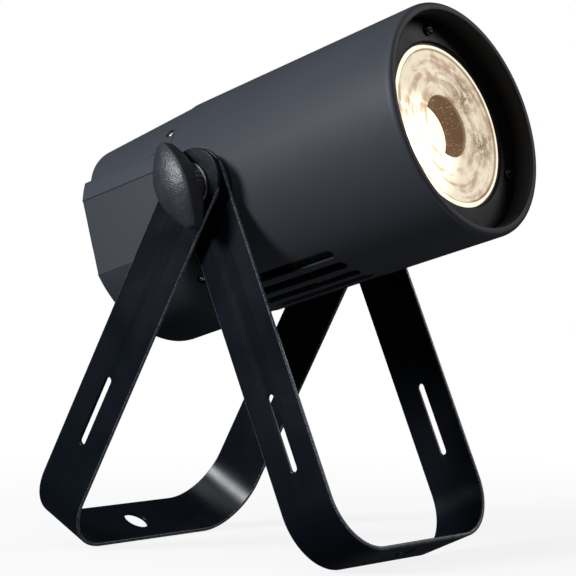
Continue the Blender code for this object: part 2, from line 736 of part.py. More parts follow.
def add_optics(materials, frames):
    head = frames["head"]
    plate_outline = [
        (PLATE_OPENING_RADIUS + 0.1 * MM, PLATE_REAR),
        (RIM_INNER_RADIUS - GAP, PLATE_REAR),
        (RIM_INNER_RADIUS - GAP, PLATE_FACE),
        (PLATE_OPENING_RADIUS + 0.8 * MM, PLATE_FACE),
        (PLATE_OPENING_RADIUS + 0.1 * MM, PLATE_FACE - 0.7 * MM),
    ]
    plate = add_part("front_plate", ring_of_turn(plate_outline, 48), materials["plate"], head)
    holder = add_part("lens_holder", lens_holder_shape(), materials["plate"], head)
    add_part("lens", lens_shape(), materials["lens"], head)
    gasket = washer(
        LENS_FLANGE_RADIUS, 40.6 * MM, LENS_FLANGE_REAR - 1.2 * MM, LENS_FLANGE_REAR - GAP, 32
    )
    add_part("lens_gasket", gasket, materials["rubber"], head)
    holes = []
    for number in range(3):
        angle = math.radians(90 + 120 * number)
        x = PLATE_SCREW_CIRCLE * math.cos(angle)
        z = PLATE_SCREW_CIRCLE * math.sin(angle)
        screw = screw_shape(*PLATE_SCREW)
        seat = Matrix.Translation((x, -(PLATE_FACE + GAP), z))
        add_part(f"front_plate_screw_{number + 1}", screw, materials["dark_steel"], head, seat)
        hole = rod(1.6 * MM, LENS_CONE_FRONT, PLATE_FACE + WALL, 12)
        holes.append(moved(hole, Matrix.Translation((x, 0, z))))
    tool = add_tool("front_plate_screw_holes", combined(holes), head)
    combine_with(plate, tool)
    combine_with(holder, tool)


def add_light_engine(materials, frames):
    """Emitter and its board on the finned heatsink."""
    head = frames["head"]
    emitter_rear = EMITTER_FACE - EMITTER_THICKNESS
    emitter = rod(EMITTER_RADIUS, emitter_rear, EMITTER_FACE, 24)
    add_part("led_emitter", emitter, materials["phosphor"], head)
    board_front = emitter_rear - GAP
    board_rear = HEATSINK_FRONT + GAP
    board_disc = rod(LED_BOARD_RADIUS, board_rear, board_front, 32)
    board = add_part("led_board", board_disc, materials["board"], head)
    sink = add_part(
        "heatsink", rod(HEATSINK_RADIUS, HEATSINK_PLATE_REAR, HEATSINK_FRONT, 40),
        materials["aluminium"], head,
    )
    fins = []
    pitch = 2 * (HEATSINK_RADIUS - 6 * MM) / (FIN_COUNT - 1)
    for i in range(FIN_COUNT):
        x = pitch * (i - (FIN_COUNT - 1) / 2)
        height = 2 * math.sqrt((HEATSINK_RADIUS - 1 * MM) ** 2 - (abs(x) + FIN_THICKNESS / 2) ** 2)
        fin_front = HEATSINK_PLATE_REAR + 1 * MM
        middle = (HEATSINK_REAR + fin_front) / 2
        fins.append(block((FIN_THICKNESS, fin_front - HEATSINK_REAR, height), (x, -middle, 0)))
    combine_with(sink, add_tool("heatsink_fins", combined(fins), head), "UNION")
    holes = []
    for number, x in enumerate((-14 * MM, 14 * MM), 1):
        screw = screw_shape(*BOARD_SCREW)
        seat = Matrix.Translation((x, -(board_front + GAP), 0))
        add_part(f"led_board_screw_{number}", screw, materials["steel"], head, seat)
        hole = rod(SCREW_HOLE_RADIUS, HEATSINK_PLATE_REAR + 1.5 * MM, EMITTER_FACE, 12)
        holes.append(moved(hole, Matrix.Translation((x, 0, 0))))
    tool = add_tool("led_board_screw_holes", combined(holes), head)
    combine_with(board, tool)
    combine_with(sink, tool)


# ---------------------------------------------------------------- driver and rear panel


def add_driver(materials, frames):
    """Driver board on four posts, with its transformer and capacitors."""
    head = frames["head"]
    length = BOARD_FRONT - BOARD_REAR
    middle = (BOARD_FRONT + BOARD_REAR) / 2
    board = block((BOARD_WIDTH, length, BOARD_THICKNESS), (0, -middle, BOARD_HEIGHT))
    add_part("driver_board", board, materials["board"], head)
    top = BOARD_HEIGHT + BOARD_THICKNESS / 2 + GAP
    x, along = TRANSFORMER_PLACE
    transformer = block(TRANSFORMER_SIZE, (x, -along, top + TRANSFORMER_SIZE[2] / 2))
    add_part("driver_transformer", transformer, materials["ferrite"], head)
    upright = Matrix.Rotation(-math.pi / 2, 4, "X")
    for number, (x, along) in enumerate(CAPACITOR_PLACES, 1):
        capacitor = solid_of_turn(
            [
                (CAPACITOR_RADIUS - 0.5 * MM, 0),
                (CAPACITOR_RADIUS, 1 * MM),
                (CAPACITOR_RADIUS, CAPACITOR_HEIGHT),
            ],
            20,
        )
        standing = Matrix.Translation((x, -along, top)) @ upright
        add_part(f"driver_capacitor_{number}", capacitor, materials["capacitor"], head, standing)
    post_top = BOARD_HEIGHT - BOARD_THICKNESS / 2 - GAP
    number = 0
    for x in (-POST_X, POST_X):
        for along in (BOARD_REAR + POST_INSET, BOARD_FRONT - POST_INSET):
            number += 1
            post = rod(POST_RADIUS, 0, POST_LENGTH, 12)
            standing = Matrix.Translation((x, -along, post_top - POST_LENGTH)) @ upright
            add_part(f"board_post_{number}", post, materials["brass"], head, standing)


def inlet_loop(size, along):
    """A rectangular loop of the inlet, across the barrel's axis."""
    x = INLET_X
    a = size[0] / 2
    b = size[1] / 2
    return [(x - a, -along, -b), (x + a, -along, -b), (x + a, -along, b), (x - a, -along, b)]


def add_power_inlet(materials, frames):
    """Three-pin mains inlet: flange, body and a deep socket."""
    head = frames["head"]
    flange_front = REAR_PANEL_REAR - GAP
    floor = INLET_MOUTH + INLET_DEPTH
    shape = loft(
        [
            inlet_loop(INLET_SOCKET, floor),
            inlet_loop(INLET_SOCKET, INLET_MOUTH),
            inlet_loop(INLET_FLANGE, INLET_MOUTH),
            inlet_loop(INLET_FLANGE, flange_front),
            inlet_loop(INLET_BODY, flange_front),
            inlet_loop(INLET_BODY, floor + 1.5 * MM),
        ]
    )
    add_part("power_inlet", shape, materials["inlet"], head)
    for pin_name, (x, z) in PIN_PLACES.items():
        middle = floor - GAP - PIN_SIZE[1] / 2
        pin = block(PIN_SIZE, (INLET_X + x, -middle, z))
        add_part("inlet_pin_" + pin_name, pin, materials["steel"], head)


def add_fuse(materials, frames):
    """Fuse holder and its quarter-turn cap."""
    head = frames["head"]
    flange_front = REAR_PANEL_REAR - GAP
    flange_rear = flange_front - FUSE_FLANGE_THICKNESS
    holder_outline = [
        (FUSE_BORE_RADIUS, flange_rear),
        (FUSE_FLANGE_RADIUS, flange_rear),
        (FUSE_FLANGE_RADIUS, flange_front),
        (FUSE_BODY_RADIUS, flange_front),
        (FUSE_BODY_RADIUS, FUSE_BODY_FRONT),
        (FUSE_BORE_RADIUS, FUSE_BODY_FRONT),
    ]
    seat = Matrix.Translation((FUSE_X, 0, 0))
    holder = ring_of_turn(holder_outline, 24)
    add_part("fuse_holder", holder, materials["inlet"], head, seat)
    cap_base = flange_rear - GAP
    cap_end = cap_base - FUSE_CAP_LENGTH
    cap = solid_of_turn(
        [
            (FUSE_PLUG_RADIUS, FUSE_PLUG_FRONT),
            (FUSE_PLUG_RADIUS, cap_base),
            (FUSE_CAP_RADIUS, cap_base),
            (FUSE_CAP_RADIUS - 0.2 * MM, cap_end + 0.8 * MM),
            (FUSE_CAP_RADIUS - 0.8 * MM, cap_end),
        ],
        24,
    )
    fuse_cap = add_part("fuse_cap", cap, materials["inlet"], head, seat)
    slot = block(FUSE_SLOT, (FUSE_X, -cap_end, 0))
    combine_with(fuse_cap, add_tool("fuse_cap_slot", slot, head))


def add_rear_panel(materials, frames, upper, lower):
    head = frames["head"]
    disc = rod(REAR_RIM_INNER_RADIUS - 0.4 * MM, REAR_PANEL_REAR, REAR_PANEL_FRONT, 48)
    panel = add_part("rear_panel", disc, materials["panel"], head)
    middle = (REAR_PANEL_REAR + REAR_PANEL_FRONT) / 2
    reach = 4 * MM
    inlet_width, inlet_height = INLET_BODY
    inlet_size = (inlet_width + 2 * GAP, 2 * reach, inlet_height + 2 * GAP)
    inlet_hole = block(inlet_size, (INLET_X, -middle, 0))
    fuse_hole = rod(FUSE_BODY_RADIUS + GAP, middle - reach, middle + reach, 24)
    moved(fuse_hole, Matrix.Translation((FUSE_X, 0, 0)))
    combine_with(panel, add_tool("rear_panel_holes", combined([inlet_hole, fuse_hole]), head))
    holes = []
    for number in range(4):
        angle = math.radians(45 + 90 * number)
        x = REAR_SCREW_CIRCLE * math.cos(angle)
        z = REAR_SCREW_CIRCLE * math.sin(angle)
        backward = Matrix.Rotation(math.pi, 4, "Z")
        seat = Matrix.Translation((x, -(REAR_PANEL_REAR - GAP), z)) @ backward
        screw = screw_shape(*REAR_SCREW)
        add_part(f"rear_panel_screw_{number + 1}", screw, materials["dark_steel"], head, seat)
        hole = rod(SCREW_HOLE_RADIUS, REAR_END, REAR_LEDGE_FACE + 4 * MM, 12)
        holes.append(moved(hole, Matrix.Translation((x, 0, z))))
    tool = add_tool("rear_panel_screw_holes", combined(holes), head)
    for part in (panel, upper, lower):
        combine_with(part, tool)


def add_cable(name, route, radius, material, frame):
    """A lead fixed at both ends inside the barrel; the route gives (x, along, height) points."""
    curve = bpy.data.curves.new(name, "CURVE")
    curve.dimensions = "3D"
    curve.bevel_depth = radius
    curve.bevel_resolution = 2
    curve.use_fill_caps = True
    points = smooth_route([Vector((x, -along, height)) for x, along, height in route])
    spline = curve.splines.new("POLY")
    spline.points.add(len(points) - 1)
    for slot, point in zip(spline.points, points):
        slot.co = (*point, 1)
    curve.materials.append(material)
    cable = bpy.data.objects.new(name, curve)
    bpy.context.collection.objects.link(cable)
    cable.parent = frame
    return cable


def smooth_route(points, steps=3):
    """Points of a Catmull-Rom curve through a route."""
    ends = [points[0] * 2 - points[1]] + points + [points[-1] * 2 - points[-2]]
    smooth = [points[0]]
    for before, start, end, after in zip(ends, ends[1:], ends[2:], ends[3:]):
        for i in range(1, steps + 1):
            t = i / steps
            smooth.append(
                0.5
                * (
                    2 * start
                    + (end - before) * t
                    + (2 * before - 5 * start + 4 * end - after) * t**2
                    + (3 * start - before - 3 * end + after) * t**3
                )
            )
    return smooth


def add_leads(materials, frames):
    """The emitter's lead beside the heatsink, and the mains lead behind the inlet."""
    head = frames["head"]
    red, blue = materials["red_wire"], materials["blue_wire"]
    add_cable("led_lead", LED_LEAD_ROUTE, LED_LEAD_RADIUS, red, head)
    add_cable("mains_lead", MAINS_LEAD_ROUTE, MAINS_LEAD_RADIUS, blue, head)


# ---------------------------------------------------------------- the whole object


def make_materials():
    return {
        "strap": make_material("strap_paint", (0.012, 0.014, 0.018), 0.42),
        "barrel": make_material("barrel_plastic", (0.045, 0.05, 0.062), 0.4),
        "knob": make_material("knob_plastic", (0.02, 0.02, 0.022), 0.55),
        "steel": make_material("zinc_steel", (0.62, 0.62, 0.6), 0.3, 1),
        "dark_steel": make_material("black_steel", (0.04, 0.04, 0.045), 0.35, 1),
        "brass": make_material("brass", (0.72, 0.5, 0.2), 0.3, 1),
        "fibre": make_material("black_fibre", (0.015, 0.015, 0.015), 0.8),
        "plate": make_material("plate_paint", (0.01, 0.01, 0.011), 0.5),
        "lens": make_material("lens_acrylic", (1.0, 0.86, 0.62), 0.08),
        "rubber": make_material("gasket_rubber", (0.012, 0.012, 0.012), 0.85),
        "phosphor": make_material("emitter_phosphor", (0.95, 0.75, 0.25), 0.5),
        "board": make_material("circuit_board", (0.02, 0.12, 0.05), 0.4),
        "aluminium": make_material("cast_aluminium", (0.6, 0.61, 0.62), 0.45, 1),
        "ferrite": make_material("ferrite", (0.06, 0.055, 0.05), 0.7),
        "capacitor": make_material("capacitor_sleeve", (0.02, 0.03, 0.09), 0.35),
        "panel": make_material("panel_paint", (0.02, 0.021, 0.024), 0.5),
        "inlet": make_material("inlet_plastic", (0.016, 0.016, 0.017), 0.35),
        "red_wire": make_material("red_insulation", (0.4, 0.02, 0.02), 0.45),
        "blue_wire": make_material("blue_insulation", (0.02, 0.06, 0.35), 0.45),
    }


def make_frames():
    """Empties on the clamp axis that carry the brackets and the head."""
    pivot = add_frame("clamp_axis", location=(0, pivot_offset(), PIVOT_HEIGHT))
    return {
        "pivot": pivot,
        "outer": add_frame("outer_bracket_frame", pivot, turn=OUTER_LEAN),
        "inner": add_frame("inner_bracket_frame", pivot, turn=-INNER_LEAN),
        "head": add_frame("head_frame", pivot, turn=-HEAD_TILT),
    }


def build():
    clear_scene()
    materials = make_materials()
    frames = make_frames()
    strap = materials["strap"]
    add_bracket("outer_bracket", OUTER_HALF_WIDTH, OUTER_LEG, strap, frames["outer"])
    add_bracket("inner_bracket", INNER_HALF_WIDTH, INNER_LEG, strap, frames["inner"])
    for side_name, side, turn in (("left", -1, LEFT_KNOB_TURN), ("right", 1, RIGHT_KNOB_TURN)):
        add_knob(side_name, side, turn, materials, frames)
        add_clamp_stack(side_name, side, materials, frames)
    tube = add_front_tube(materials, frames)
    upper, lower = add_rear_shells(materials, frames)
    add_housing_screws(materials, frames, tube, upper, lower)
    add_optics(materials, frames)
    add_light_engine(materials, frames)
    add_driver(materials, frames)
    add_power_inlet(materials, frames)
    add_fuse(materials, frames)
    add_rear_panel(materials, frames, upper, lower)
    add_leads(materials, frames)


build()
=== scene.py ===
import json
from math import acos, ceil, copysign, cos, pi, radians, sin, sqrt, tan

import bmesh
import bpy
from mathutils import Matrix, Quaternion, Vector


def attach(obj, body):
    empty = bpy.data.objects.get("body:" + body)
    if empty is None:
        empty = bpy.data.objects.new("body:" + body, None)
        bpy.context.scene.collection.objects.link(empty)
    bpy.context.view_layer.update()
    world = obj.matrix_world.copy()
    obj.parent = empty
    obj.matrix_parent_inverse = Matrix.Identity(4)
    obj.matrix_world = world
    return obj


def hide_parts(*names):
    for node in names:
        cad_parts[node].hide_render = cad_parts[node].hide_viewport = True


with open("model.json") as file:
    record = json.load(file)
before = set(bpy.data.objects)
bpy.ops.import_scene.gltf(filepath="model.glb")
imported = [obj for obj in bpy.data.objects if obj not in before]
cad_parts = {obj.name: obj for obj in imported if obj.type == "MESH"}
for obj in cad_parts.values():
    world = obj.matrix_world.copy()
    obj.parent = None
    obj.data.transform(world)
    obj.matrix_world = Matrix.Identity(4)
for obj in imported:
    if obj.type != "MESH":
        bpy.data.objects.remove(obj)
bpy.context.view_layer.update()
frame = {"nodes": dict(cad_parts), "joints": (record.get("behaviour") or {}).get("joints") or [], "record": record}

# Looks of an LED spotlight: a round barrel between two folding strap brackets, clamped by wing knobs.
#
# Every visible CAD solid gets a finer piece that stands for it, or a finish of its own.
# Pieces are drawn in the same local frames as the solids, with sizes read from them where
# possible. "Along" is the distance ahead of the clamp axis on the barrel, and the distance out
# from the centre plane on the clamp parts. Both run along the piece's own -Y.

MM = 0.001

JOINTS = {joint["name"]: joint for joint in frame["joints"]}
MOUNTS = {mount["name"]: mount for mount in frame["record"]["mounts"]}
PIVOT = Vector(JOINTS["head_tilt"]["pos_m"])


# ------------ local frames


def turned_frame(back):
    """Frame on the clamp axis whose own Y axis points along back."""
    x, y = Vector((1, 0, 0)), Vector(back).normalized()
    turn = Matrix((x, y, x.cross(y))).transposed()
    return Matrix.Translation(PIVOT) @ turn.to_4x4()


def leg_frame(down):
    """Frame on the clamp axis whose own -Z axis points down a bracket's legs."""
    z = -Vector(down).normalized()
    return turned_frame(z.cross(Vector((1, 0, 0))))


def facing_side(side):
    """Turn that points a shape's own -Y axis out along +X (side 1) or -X (side -1)."""
    return Matrix.Rotation(side * pi / 2, 4, "Z")


def facing_out(angle, along):
    """Turn that points a shape's own -Y axis straight out of the barrel at an angle."""
    turn = Matrix.Rotation(-angle, 4, "Y") @ Matrix.Rotation(pi / 2, 4, "Z")
    return Matrix.Translation((0, -along, 0)) @ turn


HEAD = turned_frame(JOINTS["fuse_cap_turn"]["axis"])
OUTER = leg_frame(MOUNTS["outer_bar_outer_face"]["axis"])
INNER = leg_frame(MOUNTS["inner_bar_outer_face"]["axis"])
SIDES = {"left": -1, "right": 1}
CLAMP = {name: Matrix.Translation(PIVOT) @ facing_side(side) for name, side in SIDES.items()}


def local_box(node, placing=HEAD):
    """Lowest and highest corner of a CAD node in a local frame."""
    back = placing.inverted()
    points = [back @ vertex.co for vertex in frame["nodes"][node].data.vertices]
    low = Vector([min(point[i] for point in points) for i in range(3)])
    high = Vector([max(point[i] for point in points) for i in range(3)])
    return low, high


# Strap details
STRAP_THICKNESS = 2 * MM
STRAP_SHARP_ANGLE = 12
STRAP_EDGE = 0.55 * MM
STRAP_HALF_WIDTH = 15 * MM
STRAP_END_RISE = 3.5 * MM
BEND_RADIUS = 29 * MM
BEND_NEUTRAL = BEND_RADIUS - STRAP_THICKNESS / 2
BEND_LENGTH = BEND_NEUTRAL * pi / 2
BEND_STEPS = 30
SLOT_TOP = 105.5 * MM
SLOT_BOTTOM = 143.5 * MM
SLOT_WIDTH = 3.6 * MM
STUD_HOLE_RADIUS = 4.6 * MM
CLAMP_HOLE_RADIUS = 6.5 * MM

# Knob details
KNOB_TURNS = {"left": radians(-26), "right": radians(38)}
KNOB_TIP_WIDTH = 4 * MM
KNOB_CROWN = 6 * MM
KNOB_WING_BASE = 73.5 * MM
KNOB_CAP_DEPTH = 3.6 * MM
KNOB_CAP_LIP = 0.5 * MM
KNOB_HUB_RADIUS = 10 * MM
KNOB_HUB_LENGTH = 4 * MM
KNOB_FLUTES = 24
KNOB_FLUTE_DEPTH = 0.2 * MM
THREAD_PITCH = 1.25 * MM
THREAD_DEPTH = 0.55 * MM

# Barrel, from the solids and a few details
TUBE_LOW, TUBE_HIGH = local_box("front_tube")
COVER_LOW, COVER_HIGH = local_box("upper_cover")
HOUSING_LOW, HOUSING_HIGH = local_box("lower_housing")
PLATE_LOW, PLATE_HIGH = local_box("front_plate")
PANEL_LOW, PANEL_HIGH = local_box("rear_panel")
LENS_LOW, LENS_HIGH = local_box("lens")
BARREL_FRONT = -TUBE_LOW.y
SPIGOT_END = -TUBE_HIGH.y
FRONT_RADIUS = TUBE_HIGH.z
SEAM_GAP = 0.6 * MM
SEAM = -COVER_LOW.y + SEAM_GAP
BARREL_DRAFT = 0.0165
SEAM_RADIUS = FRONT_RADIUS - BARREL_DRAFT * (BARREL_FRONT - SEAM)
WALL = 2.4 * MM
RIM_INNER_RADIUS = 52.9 * MM
SPIGOT_RADIUS = 51.4 * MM
SPIGOT_WALL = 2 * MM
PLATE_FACE = -PLATE_LOW.y
PLATE_REAR = -PLATE_HIGH.y
LEDGE_RADIUS = 49.5 * MM
BOSS_RADIUS = 13 * MM
BOSS_FACE = TUBE_HIGH.x
BOSS_INNER_END = 46.5 * MM
INSERT_HOLE_RADIUS = 6.5 * MM
REAR_END = -HOUSING_HIGH.y
LOWER_RADIUS = -HOUSING_LOW.z
SIDE_FLAT = HOUSING_HIGH.x
FLAT_STEP = 0.4 * MM
UPPER_REAR_RADIUS = 51 * MM
UPPER_RAKE = COVER_HIGH.y + REAR_END
SPLIT_ANGLE = radians(32)
SPLIT_SLIT = 0.6 * MM
SHELL_PITCH = radians(2.2)
REAR_RIM_INNER_RADIUS = 48.3 * MM
REAR_LEDGE_RADIUS = 42 * MM
REAR_LEDGE_FACE = -PANEL_LOW.y + 0.3 * MM
REAR_LEDGE_THICKNESS = 2.5 * MM
VENT_COUNT = 8
VENT_PITCH = radians(10.2)
VENT_WIDTH = 5.6 * MM
VENT_REAR = -15 * MM
VENT_FRONT = 45 * MM
VENT_CUT_FROM = 46 * MM
VENT_CUT_TO = 62 * MM
SEAM_SCREW_ALONG = -29.5 * MM
SEAM_SCREW_ANGLES = [radians(angle) for angle in (43, 137, -137, -43)]
SEAM_SCREW_SEAT = 53.3 * MM
SCREW_WELL_RADIUS = 2.4 * MM
SCREW_WELL_DEPTH = 8 * MM
SCREW_HOLE_RADIUS = 1.5 * MM
PLATE_HOLE_RADIUS = 1.6 * MM

# Lens
LENS_FACE = -LENS_LOW.y
LENS_REAR = -LENS_HIGH.y
LENS_RADIUS = 39.6 * MM
LENS_RING_WIDTH = 1.5 * MM
LENS_WELL_RADIUS = 15.5 * MM
LENS_WELL_FLOOR = 90.2 * MM
LENS_CONE_REAR_RADIUS = 9 * MM
LENS_CONE_FRONT_RADIUS = 40 * MM
LENS_CONE_STEPS = 14

# Rear panel
INLET_HOLE = (28.6 * MM, 8 * MM, 20.6 * MM)
FUSE_HOLE_RADIUS = 6.3 * MM
FUSE_BODY_RADIUS = 6 * MM
FUSE_BORE_RADIUS = 4.2 * MM
FUSE_STEM_RADIUS = 3.6 * MM
FUSE_RIDGES = 24
FUSE_RIDGE_DEPTH = 0.12 * MM
FLANGE_LIFT = 0.3 * MM

FINE = 0.25 * MM
ROUND = 160


# ------------ shapes


def arc(centre, radius, start, end, steps):
    """Points of an arc between two angles in degrees, both ends included."""
    points = []
    for i in range(steps + 1):
        angle = radians(start + (end - start) * i / steps)
        points.append((centre[0] + radius * cos(angle), centre[1] + radius * sin(angle)))
    return points


def rounded(corners, steps=4):
    """Closed outline with rounded corners; each corner is (x, y, size of the rounding)."""
    points = []
    for i, (x, y, size) in enumerate(corners):
        corner = Vector((x, y))
        if size == 0:
            points.append(corner)
            continue
        before = Vector(corners[i - 1][:2]) - corner
        after = Vector(corners[(i + 1) % len(corners)][:2]) - corner
        start = corner + before.normalized() * min(size, before.length * 0.48)
        end = corner + after.normalized() * min(size, after.length * 0.48)
        for j in range(steps + 1):
            t = j / steps
            points.append(start * (1 - t) ** 2 + corner * (2 * t * (1 - t)) + end * t**2)
    return [tuple(point) for point in points]


def loft(loops, ring=False):
    """Skin a row of equal loops, then cap both ends or join the last loop to the first."""
    shape = bmesh.new()
    rows = [[shape.verts.new(point) for point in loop] for loop in loops]
    pairs = list(zip(rows, rows[1:]))
    if ring:
        pairs.append((rows[-1], rows[0]))
    else:
        shape.faces.new(rows[0])
        shape.faces.new(rows[-1])
    for near, far in pairs:
        for i in range(len(near)):
            j = (i + 1) % len(near)
            shape.faces.new((near[i], near[j], far[j], far[i]))
    bmesh.ops.recalc_face_normals(shape, faces=shape.faces[:])
    return shape


def barrel_point(radius, along, angle):
    """A point at a radius and an angle about the -Y axis, measured from +X towards +Z."""
    return (radius * cos(angle), -along, radius * sin(angle))


def turns(count):
    """Evenly spaced angles of one full turn."""
    return [2 * pi * i / count for i in range(count)]


def circle(radius, along, segments, ribs=0, depth=0):
    """A circle about the -Y axis, with ribs whose roots lie twice a depth below it."""
    loop = []
    for angle in turns(segments):
        rib = depth * (1 - cos(ribs * angle))
        loop.append(barrel_point(radius - rib, along, angle))
    return loop


def turned_ring(outline, segments=ROUND):
    """A turned ring from a closed outline of (radius, along) points."""
    loops = [[barrel_point(r, a, angle) for r, a in outline] for angle in turns(segments)]
    return loft(loops, ring=True)


def turned_solid(corners, segments=ROUND, steps=4):
    """A turned solid with flat ends, from (radius, along, rounding) corners of its outer side."""
    axis_points = [(0, corners[-1][1], 0), (0, corners[0][1], 0)]
    outline = rounded([*corners, *axis_points], steps)
    return loft([circle(radius, along, segments) for radius, along in outline if radius > 0])


def box(size, centre):
    shape = bmesh.new()
    bmesh.ops.create_cube(shape, size=1)
    return moved(shape, Matrix.Translation(centre) @ Matrix.Diagonal((*size, 1)))


def stadium_outline(length, width, steps=10):
    """A bar with round ends, long in X."""
    radius = width / 2
    reach = length / 2 - radius
    return arc((reach, 0), radius, -90, 90, steps) + arc((-reach, 0), radius, 90, 270, steps)


def moved(shape, matrix):
    bmesh.ops.transform(shape, matrix=matrix, verts=shape.verts[:])
    return shape


def mesh_of(shape, name="shape"):
    mesh = bpy.data.meshes.new(name)
    shape.to_mesh(mesh)
    shape.free()
    return mesh


def combined(shapes):
    """Several closed shapes held in one."""
    whole = bmesh.new()
    for shape in shapes:
        mesh = mesh_of(shape)
        whole.from_mesh(mesh)
        bpy.data.meshes.remove(mesh)
    return whole


def new_object(data, name="temporary"):
    thing = bpy.data.objects.new(name, data)
    bpy.context.scene.collection.objects.link(thing)
    return thing


def evaluated(thing):
    """The shape of an object with its modifiers; the object is removed."""
    bpy.context.view_layer.update()
    seen = thing.evaluated_get(bpy.context.evaluated_depsgraph_get())
    mesh = bpy.data.meshes.new_from_object(seen)
    shape = bmesh.new()
    shape.from_mesh(mesh)
    bpy.data.meshes.remove(mesh)
    bpy.data.objects.remove(thing)
    return shape


def boolean(shape, tool, operation="DIFFERENCE"):
    """One shape cut by another, or joined with it."""
    base, other = new_object(mesh_of(shape)), new_object(mesh_of(tool))
    modifier = base.modifiers.new("boolean", "BOOLEAN")
    modifier.operation = operation
    modifier.solver = "EXACT"
    modifier.object = other
    result = evaluated(base)
    bpy.data.objects.remove(other)
    return result


def softened(shape, width):
    """The same shape with its sharp edges rounded."""
    thing = new_object(mesh_of(shape))
    modifier = thing.modifiers.new("edges", "BEVEL")
    modifier.width = width
    modifier.segments = 2
    modifier.limit_method = "ANGLE"
    modifier.angle_limit = radians(50)
    return evaluated(thing)


# ------------ finishes

NOISE_LOW, NOISE_HIGH = 0.3, 0.7
# Colours of painted shade, for narrow gaps and for the inside of the hood.
GAP_SHADE_COLOUR = (0.001, 0.001, 0.001)
HOOD_SHADE_COLOUR = (0.004, 0.0035, 0.0035)
CREAM = (1.0, 0.87, 0.66)
TAN = (0.56, 0.37, 0.23)
BROWN = (0.22, 0.125, 0.06)
SPARK = (1.0, 0.82, 0.5)
WELL_WALL = (0.15, 0.08, 0.042)
WELL_DOT = (0.9, 0.56, 0.26)
WELL_FLOOR = (1.0, 0.88, 0.68)
LIP_LIGHT = (1.0, 0.9, 0.7)
LENS_UNLIT = (0.02, 0.017, 0.012)
LENS_PATCHES = ((20 * MM, 15 * MM), (26 * MM, -8 * MM))
LENS_PATCH_RADIUS = 16 * MM
LENS_GLOW_AT = (-23 * MM, -10 * MM)
LENS_GLOW_RADIUS = 30 * MM
LENS_STRENGTH = 0.78
GLOW_STRENGTH = 3.4
LIP_STRENGTH = 0.35
FLOOR_STRENGTH = 0.6
SPARK_STRENGTH = 0.7


class Nodes:
    """The node tree of a material or a world."""

    def __init__(self, owner):
        owner.use_nodes = True
        self.tree = owner.node_tree

    def put(self, socket, value):
        """Link a socket, or set its value; colours come without alpha."""
        if isinstance(value, bpy.types.NodeSocket):
            self.tree.links.new(value, socket)
        else:
            socket.default_value = (*value, 1) if socket.type == "RGBA" else value

    def add(self, kind, inputs=None, **settings):
        """A new node with settings, and with inputs by name or number."""
        node = self.tree.nodes.new(kind)
        for key, value in settings.items():
            setattr(node, key, value)
        for key, value in (inputs or {}).items():
            self.put(node.inputs[key], value)
        return node


class Finish(Nodes):
    """A node material on the Principled shader, drawn in the piece's own space."""

    def __init__(self, name):
        self.material = bpy.data.materials.new(name)
        super().__init__(self.material)
        self.place = self.add("ShaderNodeTexCoord").outputs["Object"]

    def shaded(self, inputs):
        """The material, once the inputs of its shader are set by name."""
        for key, value in inputs.items():
            self.put(self.tree.nodes["Principled BSDF"].inputs[key], value)
        return self.material

    def axes(self):
        return self.add("ShaderNodeSeparateXYZ", {"Vector": self.place}).outputs

    def noise(self, size, detail=2.0, place=None, distortion=0.0):
        """Noise with patches of about the given size, in metres."""
        inputs = {"Vector": place or self.place, "Scale": 1 / size, "Detail": detail}
        node = self.add("ShaderNodeTexNoise", {**inputs, "Distortion": distortion})
        return node.outputs["Fac"]

    def cells(self, size):
        """Distance to the nearest of some scattered points, one to a cell."""
        node = self.add("ShaderNodeTexVoronoi", {"Vector": self.place, "Scale": 1 / size})
        return node.outputs["Distance"]

    def math(self, operation, *values, clamp=False):
        inputs = dict(enumerate(values))
        node = self.add("ShaderNodeMath", inputs, operation=operation, use_clamp=clamp)
        return node.outputs["Value"]

    def plus(self, first, second):
        return self.math("ADD", first, second)

    def minus(self, first, second):
        return self.math("SUBTRACT", first, second)

    def times(self, first, second, clamp=False):
        return self.math("MULTIPLY", first, second, clamp=clamp)

    def distance(self, x, z):
        """Length of an offset with parts in X and Z."""
        return self.math("SQRT", self.plus(self.math("POWER", x, 2.0), self.math("POWER", z, 2.0)))

    def remap(self, value, low, high, to_low=0.0, to_high=1.0, smooth=False):
        span = {"From Min": low, "From Max": high, "To Min": to_low, "To Max": to_high}
        kind = "SMOOTHSTEP" if smooth else "LINEAR"
        node = self.add("ShaderNodeMapRange", {"Value": value, **span}, interpolation_type=kind)
        return node.outputs["Result"]

    def varied(self, noise, low, high):
        """A value that follows a noise between two limits."""
        return self.remap(noise, NOISE_LOW, NOISE_HIGH, low, high)

    def mix(self, share, first, second):
        node = self.add("ShaderNodeMix", {"Factor": share}, data_type="RGBA")
        colours = [socket for socket in node.inputs if socket.type == "RGBA"]
        for socket, value in zip(colours, (first, second)):
            self.put(socket, value)
        return next(socket for socket in node.outputs if socket.type == "RGBA")

    def bump(self, height, distance, before=None):
        inputs = {"Height": height, "Distance": distance}
        if before:
            inputs["Normal"] = before
        return self.add("ShaderNodeBump", inputs).outputs["Normal"]


def shades(colour, *factors):
    """A colour made darker or lighter by each factor."""
    return [[channel * factor for channel in colour] for factor in factors]


def moulded(name, colour, roughness, grain, relief, patch=20, contrast=0.25, specular=0.5, shade=None):
    """Moulded plastic or rubber: fine grain, and faint patches; their sizes are in mm."""
    finish = Finish(name)
    grain, relief = grain * MM, relief * MM
    patches = finish.noise(patch * MM, detail=3)
    base = finish.mix(patches, *shades(colour, 1 - contrast, 1 + contrast))
    fine = finish.bump(finish.noise(grain, detail=1), relief)
    inputs = {
        "Base Color": shade(finish, base) if shade else base,
        "Roughness": finish.varied(patches, roughness - 0.04, roughness + 0.04),
        "Specular IOR Level": specular,
        "Normal": finish.bump(finish.noise(grain * 6, detail=2), relief * 2, fine),
    }
    return finish.shaded(inputs)


